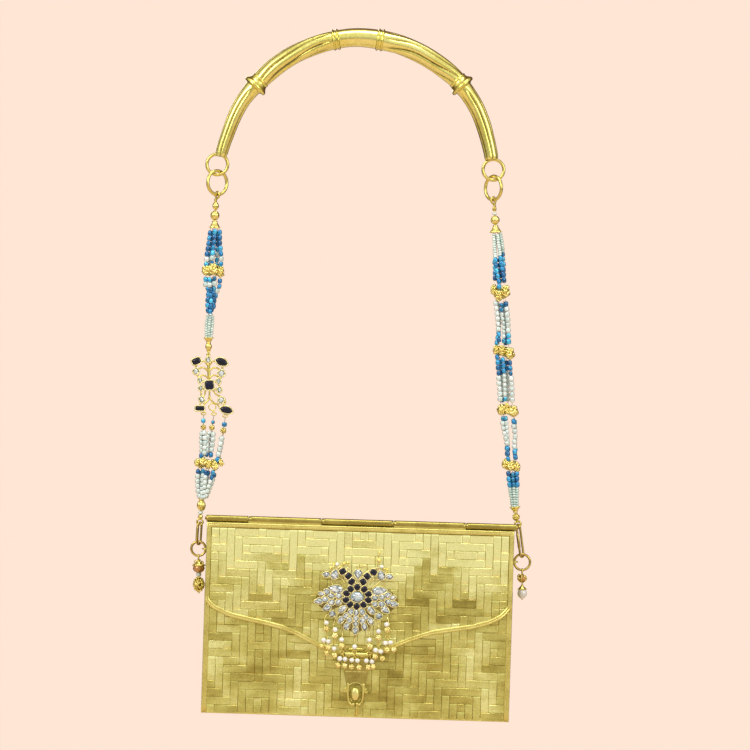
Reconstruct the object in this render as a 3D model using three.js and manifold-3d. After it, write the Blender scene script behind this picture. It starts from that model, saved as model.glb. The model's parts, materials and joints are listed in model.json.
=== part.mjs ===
// Evening bag: a bent tube handle, two beaded straps and a sheet-metal box case with a hinged front flap.
// Millimetres, +Z up, the front faces -Y. The origin is under the middle of the handle's crown, where it is carried.
// The layout is drawn on a sheet grid of 0.66 mm: u to the right, v downwards, with the origin at (358, 46.5).
import * as THREE from "three";
import { mergeVertices } from "three/addons/utils/BufferGeometryUtils.js";
import Module from "manifold-3d";

const wasm = await Module();
wasm.setup();

// ---------------------------------------------------------------- driving dimensions
const GRID = 0.66; // mm per sheet unit
const U0 = 358;
const V0 = 46.5;

const HANDLE_V = 178.5; // centre of the handle's arc on the sheet
const HANDLE_R = 93.06; // centreline radius at the crown
const CROWN_R = 6.0; // tube radius over the plain middle
const TAIL_R = 3.7; // tube radius at the ends
const SPAN_LEFT = 79.0; // degrees from the crown to the left end
const SPAN_RIGHT = 80.4;

const END_RING = 6.85; // ring centreline radius
const LINK_RING = 7.9;
const SIDE_RING = 4.7;
const WIRE = 1.05; // ring wire radius

const CASE_W = 201.4;
const CASE_H = 125.2;
const SHEET = 1.0; // thickness of the sheet
const BACK_Y = 16.0; // back face
const RIM_Y = -13.2; // front rim of the shell
const PANEL_Y = -14.5; // front face of the front panel
const FLAP_Y = -16.7; // front face of the flap
const CASE_TILT = 1.8; // degrees, clockwise from the front
const CASE_SHIFT_Y = 2.65; // brings the case's weight under the rings
const WINDOW_LOW = 22.0; // lower edge of the opening above the case's middle

const HINGE_UP = 64.9; // hinge line above the case's middle
const HINGE_Y = -14.7;
const HINGE_R = 1.95;
const PIN_R = 0.95;
const KNUCKLES = [-101.6, -73.8, -25.9, 21.5, 69.0, 103.2];

const CLASP_U = -0.2; // clasp centreline
const CLASP_BAR_UP = -21.6;
const CLASP_BAR_Y = -19.0;
const CLASP_BAR_R = 1.9;
const CLASP_HALF = 7.85;
const STUD_UP = -47.0;

// ---------------------------------------------------------------- helpers
const X = (u) => (u - U0) * GRID;
const Z = (v) => (V0 - v) * GRID;
const P = (u, v, y = 0) => new THREE.Vector3(X(u), y, Z(v));
const rad = THREE.MathUtils.degToRad;

const GOLD = { color: 0xd9b548, metalness: 1.0, roughness: 0.28 };
const WEAVE = { color: 0xcbb85c, metalness: 1.0, roughness: 0.42 };
const DARK_GOLD = { color: 0xa8862c, metalness: 1.0, roughness: 0.35 };
const BLUE = { color: 0x1f78be, metalness: 0.1, roughness: 0.2 };
const WHITE = { color: 0xe4e8e2, metalness: 0.1, roughness: 0.3 };
const MINT = { color: 0xc4dccb, metalness: 0.1, roughness: 0.3 };
const NAVY = { color: 0x10131c, metalness: 0.0, roughness: 0.12 };
const PEARL = { color: 0xf2e6d4, metalness: 0.0, roughness: 0.3 };
const SATIN = { color: 0xb9a06a, metalness: 0.0, roughness: 0.6 };

const bag = new THREE.Group();

function named(parent, name, geometry, look) {
  const mesh = new THREE.Mesh(geometry, new THREE.MeshStandardMaterial(look));
  mesh.name = name;
  parent.add(mesh);
  return mesh;
}

// Closed triangle soup to a solid, and back.
function solid(geometry) {
  const g = geometry.clone();
  g.deleteAttribute("normal");
  g.deleteAttribute("uv");
  const m = mergeVertices(g, 1e-4);
  const tri = [];
  for (let i = 0; i < m.index.count; i += 3) {
    const [a, b, c] = [m.index.getX(i), m.index.getX(i + 1), m.index.getX(i + 2)];
    if (a !== b && b !== c && c !== a) tri.push(a, b, c);
  }
  return new wasm.Manifold(
    new wasm.Mesh({
      numProp: 3,
      vertProperties: new Float32Array(m.attributes.position.array),
      triVerts: new Uint32Array(tri),
    }),
  );
}

function shape(body) {
  const mesh = body.getMesh();
  const points = new Float32Array(mesh.numVert * 3);
  for (let i = 0; i < mesh.numVert; i++)
    for (let k = 0; k < 3; k++)
      points[3 * i + k] = mesh.vertProperties[i * mesh.numProp + k];
  const g = new THREE.BufferGeometry();
  g.setAttribute("position", new THREE.BufferAttribute(points, 3));
  g.setIndex(new THREE.BufferAttribute(new Uint32Array(mesh.triVerts), 1));
  g.computeVertexNormals();
  return g;
}

function block(x0, x1, y0, y1, z0, z1) {
  return new THREE.BoxGeometry(x1 - x0, y1 - y0, z1 - z0).translate(
    (x0 + x1) / 2,
    (y0 + y1) / 2,
    (z0 + z1) / 2,
  );
}

// A turned solid about its own Y axis from [height, radius] pairs; flips the profile so that faces point out.
function turned(profile, segments = 10) {
  const pts = profile.map(([h, r]) => new THREE.Vector2(r, h));
  const g = new THREE.LatheGeometry(pts, segments);
  return volume(g) < 0 ? new THREE.LatheGeometry(pts.reverse(), segments) : g;
}

function volume(geometry) {
  const g = geometry.index ? geometry.toNonIndexed() : geometry;
  const p = g.getAttribute("position");
  const [a, b, c] = [new THREE.Vector3(), new THREE.Vector3(), new THREE.Vector3()];
  let six = 0;
  for (let i = 0; i < p.count; i += 3) {
    a.fromBufferAttribute(p, i);
    b.fromBufferAttribute(p, i + 1);
    c.fromBufferAttribute(p, i + 2);
    six += a.dot(b.cross(c));
  }
  return six / 6;
}

// Puts a turned solid between two points, its length scaled to fit, and flattens it front to back.
function between(from, to, profile, { flat = 1, segments = 10 } = {}) {
  const along = to.clone().sub(from);
  const length = along.length();
  const g = turned(
    profile.map(([t, r]) => [t * length, r]),
    segments,
  );
  g.scale(1, 1, flat);
  g.applyQuaternion(
    new THREE.Quaternion().setFromUnitVectors(new THREE.Vector3(0, 1, 0), along.normalize()),
  );
  g.translate(from.x, from.y, from.z);
  return g;
}

// A row of beads drawn as one swelling rod: radii in sheet units at even steps.
const rod = (radii) => {
  const out = [[0, 0]];
  radii.forEach((r, i) => out.push([i / (radii.length - 1), r * GRID]));
  out.push([1, 0]);
  return out;
};

// A wire ring: centre, radius of its centreline, wire radius and the direction of its axis.
function ring(centre, radius, wire, axis, around = 20, section = 6) {
  const g = new THREE.TorusGeometry(radius, wire, section, around);
  g.applyQuaternion(
    new THREE.Quaternion().setFromUnitVectors(new THREE.Vector3(0, 0, 1), axis.clone().normalize()),
  );
  g.translate(centre.x, centre.y, centre.z);
  return g;
}

// A plate from an outline of [x, z] points, standing between two depths.
function plate(outline, front, back, holes = []) {
  const s = new THREE.Shape(outline.map(([x, z]) => new THREE.Vector2(x, z)));
  for (const hole of holes)
    s.holes.push(new THREE.Path(hole.map(([x, z]) => new THREE.Vector2(x, z))));
  const g = new THREE.ExtrudeGeometry(s, { depth: back - front, bevelEnabled: false, curveSegments: 12 });
  g.rotateX(Math.PI / 2); // the sheet's plane becomes XZ, and the depth runs to -Y
  g.translate(0, back, 0);
  return g;
}

function tubeAcross(x0, x1, y, z, radius, segments = 12) {
  const g = new THREE.CylinderGeometry(radius, radius, x1 - x0, segments);
  g.rotateZ(Math.PI / 2);
  g.translate((x0 + x1) / 2, y, z);
  return g;
}

// ---------------------------------------------------------------- handle
const arcRadius = (deg) =>
  HANDLE_R - (deg < 0 ? 1.1 : 3.0) * Math.pow(Math.abs(deg) / 80, 2);
const arcPoint = (deg) =>
  new THREE.Vector3(
    arcRadius(deg) * Math.sin(rad(deg)),
    0,
    Z(HANDLE_V) + arcRadius(deg) * Math.cos(rad(deg)),
  );
const arcDirection = (deg) => arcPoint(deg + 0.5).sub(arcPoint(deg - 0.5)).normalize();

function tubeRadius(deg) {
  const a = Math.abs(deg);
  const steps = [
    [0, CROWN_R],
    [9, CROWN_R],
    [22, 5.8],
    [46, 4.8],
    [52, 4.6],
    [66, 4.2],
    [82, TAIL_R],
  ];
  for (let i = 1; i < steps.length; i++)
    if (a <= steps[i][0]) {
      const [a0, r0] = steps[i - 1];
      const [a1, r1] = steps[i];
      return r0 + ((r1 - r0) * (a - a0)) / (a1 - a0);
    }
  return TAIL_R;
}

const LEFT_RING_AT = P(217.3, 164.4);
const RIGHT_RING_AT = P(493.4, 169.8);
const ACROSS = new THREE.Vector3(0, 1, 0);

{
  const g = new THREE.CylinderGeometry(1, 1, 1, 12, 40);
  const p = g.getAttribute("position");
  const v = new THREE.Vector3();
  for (let i = 0; i < p.count; i++) {
    v.fromBufferAttribute(p, i);
    const deg = -SPAN_LEFT + (v.y + 0.5) * (SPAN_LEFT + SPAN_RIGHT);
    const at = arcPoint(deg);
    const t = arcDirection(deg);
    const out = new THREE.Vector3(-t.z, 0, t.x);
    const r = tubeRadius(deg);
    at.addScaledVector(out, v.x * r).addScaledVector(new THREE.Vector3(0, 1, 0), v.z * r);
    p.setXYZ(i, at.x, at.y, at.z);
  }
  let body = volume(g) < 0 ? null : solid(g);
  if (!body) {
    const index = g.index;
    for (let i = 0; i < index.count; i += 3) {
      const a = index.getX(i);
      index.setX(i, index.getX(i + 1));
      index.setX(i + 1, a);
    }
    body = solid(g);
  }
  body = body
    .subtract(solid(ring(LEFT_RING_AT, END_RING, WIRE + 0.35, ACROSS, 24, 8)))
    .subtract(solid(ring(RIGHT_RING_AT, END_RING, WIRE + 0.35, ACROSS, 24, 8)));
  named(bag, "handle_tube", shape(body), GOLD);
}

function collar(name, deg, half, peaks) {
  const inner = Math.max(tubeRadius(deg - 2.5), tubeRadius(deg + 2.5)) + 0.5;
  const ringProfile = [[-half, inner], ...peaks.map(([t, r]) => [t * half, r]), [half, inner], [-half, inner]];
  const g = turned(ringProfile, 16);
  g.applyQuaternion(
    new THREE.Quaternion().setFromUnitVectors(new THREE.Vector3(0, 1, 0), arcDirection(deg)),
  );
  const c = arcPoint(deg);
  g.translate(c.x, c.y, c.z);
  named(bag, name, g, GOLD);
}
const thin = [[-1, 6.7], [-0.45, 7.2], [0, 6.75], [0.45, 7.2], [1, 6.7]];
collar("collar_thin_left", -9.06, 2.5, thin);
collar("collar_thin_right", 9.14, 2.5, thin);
const big = [[-1, 6.0], [-0.62, 6.6], [-0.36, 6.0], [-0.1, 8.6], [0.3, 8.9], [0.5, 7.4], [0.75, 6.6], [1, 6.2]];
collar("collar_big_left", -47.9, 3.9, big.map(([t, r]) => [-t, r]).reverse());
collar("collar_big_right", 48.3, 3.9, big);

named(bag, "end_ring_left", ring(LEFT_RING_AT, END_RING, WIRE, ACROSS, 22), GOLD);
named(bag, "end_ring_right", ring(RIGHT_RING_AT, END_RING, WIRE, ACROSS, 22), GOLD);

// ---------------------------------------------------------------- link rings
const linkCentre = (ringAt) =>
  ringAt.clone().add(new THREE.Vector3(0, 0, -END_RING + 2 * WIRE + 0.55 - LINK_RING));
const LEFT_LINK_AT = linkCentre(LEFT_RING_AT);
const RIGHT_LINK_AT = linkCentre(RIGHT_RING_AT);
// The rings are turned about the vertical, one each way.
const LEFT_LINK_AXIS = new THREE.Vector3(Math.sin(rad(-40)), Math.cos(rad(-40)), 0);
const RIGHT_LINK_AXIS = new THREE.Vector3(Math.sin(rad(50)), Math.cos(rad(50)), 0);
named(bag, "link_ring_left", ring(LEFT_LINK_AT, LINK_RING, WIRE, LEFT_LINK_AXIS, 22), GOLD);
named(bag, "link_ring_right", ring(RIGHT_LINK_AT, LINK_RING, WIRE, RIGHT_LINK_AXIS, 22), GOLD);

// ---------------------------------------------------------------- straps
// The top eye closes round the bottom of the link ring, in the plane square to its wire.
const EYE = 2.15;
const EYE_WIRE = 0.62;
function eyeAxis(axis) {
  return new THREE.Vector3(axis.y, -axis.x, 0);
}
function topStack(name, linkAt, axis, end, profile) {
  const centre = linkAt.clone().add(new THREE.Vector3(0, 0, -LINK_RING + WIRE + 0.35 - (EYE - EYE_WIRE)));
  const start = centre.clone().add(new THREE.Vector3(0, 0, -EYE + 0.25));
  const body = solid(ring(centre, EYE, EYE_WIRE, eyeAxis(axis), 14)).add(
    solid(between(start, end, profile)),
  );
  named(bag, name, shape(body), GOLD);
}

// Left strap
topStack("left_top_stack", LEFT_LINK_AT, LEFT_LINK_AXIS, P(214.7, 228), [
  [0, 0], [0, 0.7], [0.16, 0.8], [0.22, 2.1], [0.34, 2.1], [0.4, 0.9], [0.46, 2.4], [0.55, 3.1],
  [0.66, 2.4], [0.72, 1.3], [0.78, 1.9], [1, 3.2], [1, 0],
]);
named(bag, "left_strands_upper", between(P(214.6, 228.6), P(213.4, 262.6), rod([4.6, 5.2, 6.2, 7.4, 7.4]), { flat: 0.7 }), BLUE);
named(bag, "left_cluster_upper", between(P(201.8, 271), P(224.4, 270), rod([3.6, 5.6, 5.2, 5.8, 5.4, 5.8, 3.8])), GOLD);
named(bag, "left_strands_middle", between(P(213, 279), P(208.8, 337), rod([6.6, 6.4, 5.4, 4.4, 3.9, 4.2, 4.2]), { flat: 0.7 }), WHITE);
named(bag, "left_middle_stack", between(P(208.7, 337.6), P(208.5, 351.6), [
  [0, 0], [0, 3.0], [0.3, 1.5], [0.38, 1.2], [0.5, 2.1], [0.72, 2.2], [0.88, 1.0], [1, 0.9], [1, 0],
]), GOLD);
{
  const o = [[208.5, 352.2], [213, 355], [226.5, 356], [227.5, 366], [224, 377], [224.5, 392], [226, 401],
    [231.5, 405], [230.5, 413.5], [214, 414], [196, 413.2], [194.5, 404], [196.5, 392], [196, 378],
    [191.5, 372], [190, 361], [192, 356], [204, 355]].map(([u, v]) => [X(u), Z(v)]);
  named(bag, "left_connector", plate(o, -1.5, 1.3), GOLD);
}
named(bag, "left_strands_lower", between(P(214.3, 416.4), P(209.2, 456.6), rod([11, 11.4, 11, 11, 10.6]), { flat: 0.32 }), WHITE);
named(bag, "left_cluster_lower", between(P(194.3, 464.5), P(223.2, 463), rod([3.4, 5.4, 5, 5.6, 5, 5.4, 3.6])), GOLD);
named(bag, "left_strands_last", between(P(207.2, 472), P(202, 497.2), rod([10.6, 9.6, 7.8, 5.6]), { flat: 0.38 }), WHITE);
{
  const stack = solid(between(P(201.6, 498), P(200.1, 519.2), [
    [0, 0], [0, 3.4], [0.12, 2.0], [0.18, 2.6], [0.36, 3.1], [0.54, 2.2], [0.58, 1.5], [0.68, 1.8],
    [0.76, 1.2], [0.86, 1.7], [0.96, 0.8], [1, 0.7], [1, 0],
  ]));
  const eye = solid(ring(P(199.9, 521.9), 1.95, 0.6, new THREE.Vector3(0, 1, 0), 14));
  named(bag, "left_lower_stack", shape(stack.add(eye)), GOLD);
}

// Right strap
topStack("right_top_stack", RIGHT_LINK_AT, RIGHT_LINK_AXIS, P(495.4, 232.6), [
  [0, 0], [0, 0.7], [0.1, 0.8], [0.16, 1.9], [0.3, 1.9], [0.36, 1.3], [0.46, 1.7], [0.52, 2.4], [0.6, 3.1],
  [0.7, 2.4], [0.76, 1.6], [0.82, 2.2], [1, 3.6], [1, 0],
]);
const strandsRight = [
  ["right_strands_1", [495.6, 233.2], [499.6, 283.6], [4.6, 6.4, 7.4, 7.6, 6.8], 0.55, BLUE],
  ["right_strands_2", [500.2, 303.2], [503.2, 343.8], [6.4, 7.4, 8, 8, 6.8], 0.5, WHITE],
  ["right_strands_3", [504.2, 358.6], [507.7, 401.4], [6.6, 7.6, 8, 7.6, 6.8], 0.5, WHITE],
  ["right_strands_4", [509, 416.4], [511.6, 459.4], [6.6, 7.4, 7.4, 7.2, 7], 0.5, WHITE],
  ["right_strands_5", [512.4, 472.4], [515.3, 504.6], [7, 7, 5.8, 4.6], 0.6, MINT],
];
for (const [name, a, b, radii, flat, look] of strandsRight)
  named(bag, name, between(P(...a), P(...b), rod(radii), { flat }), look);
const clustersRight = [
  ["right_cluster_1", [489.6, 292.4], [510, 294.4], [4, 7.2, 8.4, 8.6, 7.6, 4]],
  ["right_cluster_2", [492.6, 350.2], [515.6, 352.4], [3.6, 5.8, 6.4, 6.6, 5.8, 3.6]],
  ["right_cluster_3", [497, 408.4], [518.6, 410], [3.6, 5.8, 6.2, 6, 5.6, 3.6]],
  ["right_cluster_4", [501.6, 465], [522.2, 466.8], [3.6, 5.6, 6.2, 6.2, 5.6, 3.6]],
];
for (const [name, a, b, radii] of clustersRight)
  named(bag, name, between(P(...a), P(...b), rod(radii)), GOLD);
{
  const stack = solid(between(P(515.4, 505.2), P(517.6, 521.4), [
    [0, 0], [0, 3.2], [0.3, 2.0], [0.42, 1.9], [0.56, 2.7], [0.72, 2.7], [0.88, 1.6], [1, 0.8], [1, 0],
  ]));
  const eye = solid(ring(P(517.9, 524), 1.95, 0.6, new THREE.Vector3(0, 1, 0), 14));
  named(bag, "right_lower_stack", shape(stack.add(eye)), GOLD);
}

// ---------------------------------------------------------------- the case's own frame
// Everything on the case is drawn about the middle of its front, in a group that carries the tilt.
const box = new THREE.Group();
box.position.set(X(357.9), CASE_SHIFT_Y, Z(620.4));
box.rotation.y = rad(CASE_TILT);
bag.add(box);
box.updateMatrixWorld(true);
const local = (p) => box.worldToLocal(p.clone());

const W = CASE_W / 2;
const H = CASE_H / 2;

// ---------------------------------------------------------------- hook links, side rings and tassels
// Each side ring stands just off the side sheet, level with the loop that holds it.
const sideAt = (side, v, radius) =>
  box.localToWorld(new THREE.Vector3(side * (W + 1.25 + radius), -CASE_SHIFT_Y, local(P(358 + side * 160, v)).z));
const SIDE_RING_RIGHT = SIDE_RING + 0.5;
const LEFT_SIDE_AT = sideAt(-1, 548.6, SIDE_RING);
const RIGHT_SIDE_AT = sideAt(1, 562, SIDE_RING_RIGHT);
// A long narrow link: a stadium of wire in the plane across the eye above it.
function longLink(name, top, bottom, half) {
  const along = bottom.clone().sub(top);
  const stretch = along.length() / 2 - half;
  const count = 16;
  const g = new THREE.TorusGeometry(half, 0.62, 6, count);
  const p = g.getAttribute("position");
  for (let i = 0; i < p.count; i++) {
    const a = Math.atan2(p.getY(i), p.getX(i)) + Math.PI / count;
    const r = Math.hypot(p.getX(i), p.getY(i));
    const up = Math.sin(a) > 0 ? stretch : -stretch;
    p.setXYZ(i, p.getZ(i), r * Math.cos(a), r * Math.sin(a) + up);
  }
  g.applyQuaternion(
    new THREE.Quaternion().setFromUnitVectors(new THREE.Vector3(0, 0, 1), along.clone().normalize().negate()),
  );
  const mid = top.clone().add(bottom).multiplyScalar(0.5);
  g.translate(mid.x, mid.y, mid.z);
  if (volume(g) < 0) throw new Error(name + " is inside out");
  named(bag, name, g, DARK_GOLD);
}
const ringTop = (at, radius) => at.clone().add(new THREE.Vector3(0, 0, radius - 0.85 - 0.62 - 0.35));
longLink("hook_link_left", P(199.9, 522.5), ringTop(LEFT_SIDE_AT, SIDE_RING), 1.75);
longLink("hook_link_right", P(517.9, 524.6), ringTop(RIGHT_SIDE_AT, SIDE_RING_RIGHT), 1.75);
named(bag, "side_ring_left", ring(LEFT_SIDE_AT, SIDE_RING, 0.85, ACROSS, 18), GOLD);
named(bag, "side_ring_right", ring(RIGHT_SIDE_AT, SIDE_RING_RIGHT, 0.85, ACROSS, 18), GOLD);

// A tassel hangs in the bottom of each side ring by its own small loop.
function tassel(name, ringAt, radius, shift, length, profile) {
  const eye = 1.95;
  const wire = 0.55;
  const c = ringAt.clone().add(new THREE.Vector3(0, 0, -radius + 0.85 + 0.35 - (eye - wire)));
  const top = c.clone().add(new THREE.Vector3(0, 0, -eye + 0.2));
  const body = solid(ring(c, eye, wire, new THREE.Vector3(1, 0, 0), 12)).add(
    solid(between(top, top.clone().add(new THREE.Vector3(shift, 0, -length)), profile)),
  );
  named(bag, name, shape(body), DARK_GOLD);
}
tassel("tassel_left", LEFT_SIDE_AT, SIDE_RING, -0.3, 22.6, [
  [0, 0], [0, 1.2], [0.06, 3.2], [0.2, 3.9], [0.34, 3.2], [0.42, 1.6], [0.48, 1.9], [0.54, 1.5],
  [0.6, 3.2], [0.77, 4.5], [0.93, 3.0], [1, 1.0], [1, 0],
]);
tassel("tassel_right", RIGHT_SIDE_AT, SIDE_RING_RIGHT, -0.4, 19.5, [
  [0, 0], [0, 1.0], [0.1, 3.0], [0.24, 3.5], [0.38, 2.7], [0.48, 0.9], [0.56, 0.9], [0.64, 2.2],
  [0.82, 2.7], [0.96, 1.6], [1, 0.6], [1, 0],
]);

// ---------------------------------------------------------------- case
const GAP = 0.3;

// Hinge knuckles: tube, bore and a web that joins the tube to the sheet it belongs to.
function knuckle(from, to, web) {
  return solid(tubeAcross(from + GAP / 2, to - GAP / 2, HINGE_Y, HINGE_UP, HINGE_R, 16)).add(solid(web));
}
const bore = solid(tubeAcross(KNUCKLES[0] - 2, KNUCKLES[5] + 2, HINGE_Y, HINGE_UP, PIN_R + 0.32, 16));

{
  let shell = solid(block(-W, W, RIM_Y, BACK_Y, -H, H)).subtract(
    solid(block(-W + SHEET, W - SHEET, RIM_Y - 1, BACK_Y - SHEET, -H + SHEET, H - SHEET)),
  );
  for (const i of [0, 2, 4]) {
    const a = Math.max(KNUCKLES[i], -W) + GAP;
    const b = Math.min(KNUCKLES[i + 1], W) - GAP;
    shell = shell.add(
      knuckle(KNUCKLES[i], KNUCKLES[i + 1], block(a, b, HINGE_Y + 0.4, RIM_Y + 2.2, H - 0.6, HINGE_UP - 0.9)),
    );
  }
  shell = shell.subtract(bore);
  // Side loops: half rings of wire soldered to the side sheets, each round its side ring.
  for (const [at, side, reach] of [[LEFT_SIDE_AT, -1, SIDE_RING], [RIGHT_SIDE_AT, 1, SIDE_RING_RIGHT]]) {
    const c = local(at);
    const wireX = c.x - side * reach;
    const loop = solid(ring(new THREE.Vector3(wireX, c.y, c.z), 1.95, 0.6, new THREE.Vector3(0, 0, 1), 16));
    const keep = side < 0 ? block(-W - 8, -W + 0.4, -20, 20, c.z - 4, c.z + 4) : block(W - 0.4, W + 8, -20, 20, c.z - 4, c.z + 4);
    shell = shell.add(loop.intersect(solid(keep)));
  }
  named(box, "case_shell", shape(shell), WEAVE);
}

named(box, "front_panel", block(-W, W, PANEL_Y, PANEL_Y + SHEET, -H, WINDOW_LOW), WEAVE);

{
  const m = SHEET + GAP;
  const t = 0.8;
  const lining = solid(block(-W + m, W - m, RIM_Y + 0.1, BACK_Y - m, -H + m, H - m))
    .subtract(solid(block(-W + m + t, W - m - t, RIM_Y + 0.1 + t, BACK_Y - m - t, -H + m + t, H - m - t)))
    .subtract(solid(block(-W + m + t, W - m - t, RIM_Y - 2, RIM_Y + 2, WINDOW_LOW - 0.6, H - m - t)));
  named(box, "lining", shape(lining), SATIN);
}

// Flap outline: left to right along the S-curved lower edge, in millimetres about the case's middle.
const FLAP_HALF = 100.9;
const FLAP_TOP = H - 0.1;
const LOW_EDGE = [
  [-100.9, 14.6], [-99.2, 9.6], [-95.2, 5.6], [-84, 0.6], [-71.8, -1.9], [-60.6, -4.0], [-49.2, -6.5],
  [-38, -11], [-30.6, -14.8], [-23, -18.4], [-12, -21.6], [-3.2, -23.3], [3.2, -23.3], [12, -21.2], [22, -17.4],
  [30, -13.9], [39, -10.3], [48.9, -7.0], [60, -5.0], [74.5, -2.6], [86, 0.7], [94, 4.8], [99, 10.2], [100.9, 16.0],
];
{
  const outline = [[-FLAP_HALF, FLAP_TOP], ...LOW_EDGE, [FLAP_HALF, FLAP_TOP]];
  let flap = solid(plate(outline, FLAP_Y, FLAP_Y + SHEET + 0.1));
  for (const i of [1, 3])
    flap = flap.add(
      knuckle(
        KNUCKLES[i],
        KNUCKLES[i + 1],
        block(KNUCKLES[i] + GAP, KNUCKLES[i + 1] - GAP, FLAP_Y, HINGE_Y - 0.9, FLAP_TOP - 0.8, HINGE_UP - 0.2),
      ),
    );
  flap = flap.subtract(bore);
  named(box, "flap", shape(flap), WEAVE);
}
named(box, "hinge_pin", tubeAcross(KNUCKLES[0] - 0.8, KNUCKLES[5] + 0.3, HINGE_Y, HINGE_UP, PIN_R, 12), DARK_GOLD);

// ---------------------------------------------------------------- clasp
{
  const c = CLASP_U;
  const half = CLASP_HALF;
  // Bracket on the flap's tip: a foot plate under the bar and an ear at each end of it.
  const foot = block(c - half - 2.0, c + half + 2.0, FLAP_Y - GAP - 0.5, FLAP_Y - GAP, CLASP_BAR_UP + 2.3, CLASP_BAR_UP + 6.2);
  let bracket = solid(foot);
  for (const s of [-1, 1]) {
    const e0 = c + s * (half + 0.35);
    const e1 = c + s * (half + 1.55);
    bracket = bracket
      .add(solid(tubeAcross(Math.min(e0, e1), Math.max(e0, e1), CLASP_BAR_Y, CLASP_BAR_UP, 1.75, 14)))
      .add(solid(block(Math.min(e0, e1), Math.max(e0, e1), CLASP_BAR_Y, FLAP_Y - GAP, CLASP_BAR_UP - 0.9, CLASP_BAR_UP + 3.2)));
  }
  bracket = bracket.subtract(solid(tubeAcross(c - 20, c + 20, CLASP_BAR_Y, CLASP_BAR_UP, 1.0, 12)));
  named(box, "hasp_bracket", shape(bracket), GOLD);
  named(box, "hasp_pin", tubeAcross(c - half - 1.9, c + half + 1.9, CLASP_BAR_Y, CLASP_BAR_UP, 0.7, 10), GOLD);

  const front = CLASP_BAR_Y + 0.55;
  // The plate ends in two arms that pass either side of the stud.
  const outline = [
    [-half, CLASP_BAR_UP - 0.6], [-half, -33.5], [-6.6, -39], [-6.0, -43], [-5.6, -54.6],
    [-4.0, -54.6], [-4.0, -41.2], [4.0, -41.2], [4.0, -54.6],
    [5.6, -54.6], [6.0, -43], [6.6, -39], [half, -33.5], [half, CLASP_BAR_UP - 0.6],
  ].map(([x, z]) => [x + c, z]);
  let hasp = solid(plate(outline, front, front + 1.2))
    .add(solid(tubeAcross(c - half, c + half, CLASP_BAR_Y, CLASP_BAR_UP, CLASP_BAR_R, 16)))
    .subtract(solid(tubeAcross(c - 20, c + 20, CLASP_BAR_Y, CLASP_BAR_UP, 1.0, 12)));
  named(box, "hasp", shape(hasp), GOLD);

  // Oval stud on the front panel.
  const stud = turned([[0, 0], [0, 4.6], [0.7, 4.6], [1.0, 2.3], [4.8, 2.1], [5.6, 2.3], [6.6, 1.8], [7.1, 0]], 14);
  stud.rotateX(Math.PI); // stands out of the panel towards the front
  stud.scale(1, 1, 1.62);
  stud.translate(c, PANEL_Y - GAP, STUD_UP);
  named(box, "clasp_stud", stud, GOLD);
}

// ---------------------------------------------------------------- brooch and dangles
{
  const about = (u, v) => {
    const p = local(P(u, v));
    return [p.x, p.z];
  };
  const outline = [
    [323, 577], [325, 571], [330, 566], [338, 560.5], [345, 560.5], [350, 568], [355, 573], [358, 568.5],
    [361, 573], [366, 567], [374, 559], [380, 557.5], [387, 565], [391, 574], [390, 580], [384, 583], [386, 589],
    [397, 594], [401, 603], [395, 612], [388, 617], [382, 621], [374, 626], [368, 632], [360, 634.5], [350, 634.5],
    [343, 631], [337, 624], [329, 618], [322, 613], [315, 606], [313, 598], [318, 590], [329, 586], [331, 581],
  ].map(([u, v]) => about(u, v));
  const back = FLAP_Y - GAP;
  named(box, "brooch_frame", plate(outline, back - 2.6, back), GOLD);
  const stone = turned([[0, 0], [0, 4.4], [0.5, 4.4], [1.5, 3.2], [2.1, 1.4], [2.2, 0]], 14);
  stone.rotateX(Math.PI);
  const [cx, cz] = about(357.1, 597.3);
  stone.translate(cx, back - 2.6 - GAP, cz);
  named(box, "centre_stone", stone, WHITE);

  // Seven pearl dangles: top and bottom of each on the sheet.
  const DANGLE_Y = CLASP_BAR_Y - CLASP_BAR_R - 0.35 - 2.1;
  const drops = [
    [325.3, 618.5, 325.0, 652.5], [333.9, 625.5, 333.6, 660.5], [342.6, 635, 342.2, 667.5],
    [355, 642.5, 354.6, 671], [369.3, 636, 369.3, 669.5], [378.5, 627.5, 378.7, 661.5], [387.8, 620.5, 388.2, 655],
  ];
  drops.forEach(([u0, v0, u1, v1], i) => {
    const [x0, z0] = about(u0, v0);
    const [x1, z1] = about(u1, v1);
    const a = new THREE.Vector3(x0, DANGLE_Y, z0);
    const b = new THREE.Vector3(x1, DANGLE_Y, z1);
    const d = between(a, b, [[0, 0], [0, 0.8], [0.08, 1.6], [0.3, 2.1], [0.5, 2.4], [0.8, 2.6], [0.95, 2.3], [1, 1.2], [1, 0]], {
      flat: 0.8,
      segments: 8,
    });
    named(box, "dangle_" + (i + 1), d, PEARL);
  });
}

export default bag;
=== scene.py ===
"""Evening bag: the finished look of every piece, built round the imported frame. Metres in Blender; the geometry code works in millimetres."""

import json
import math
import random

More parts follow.
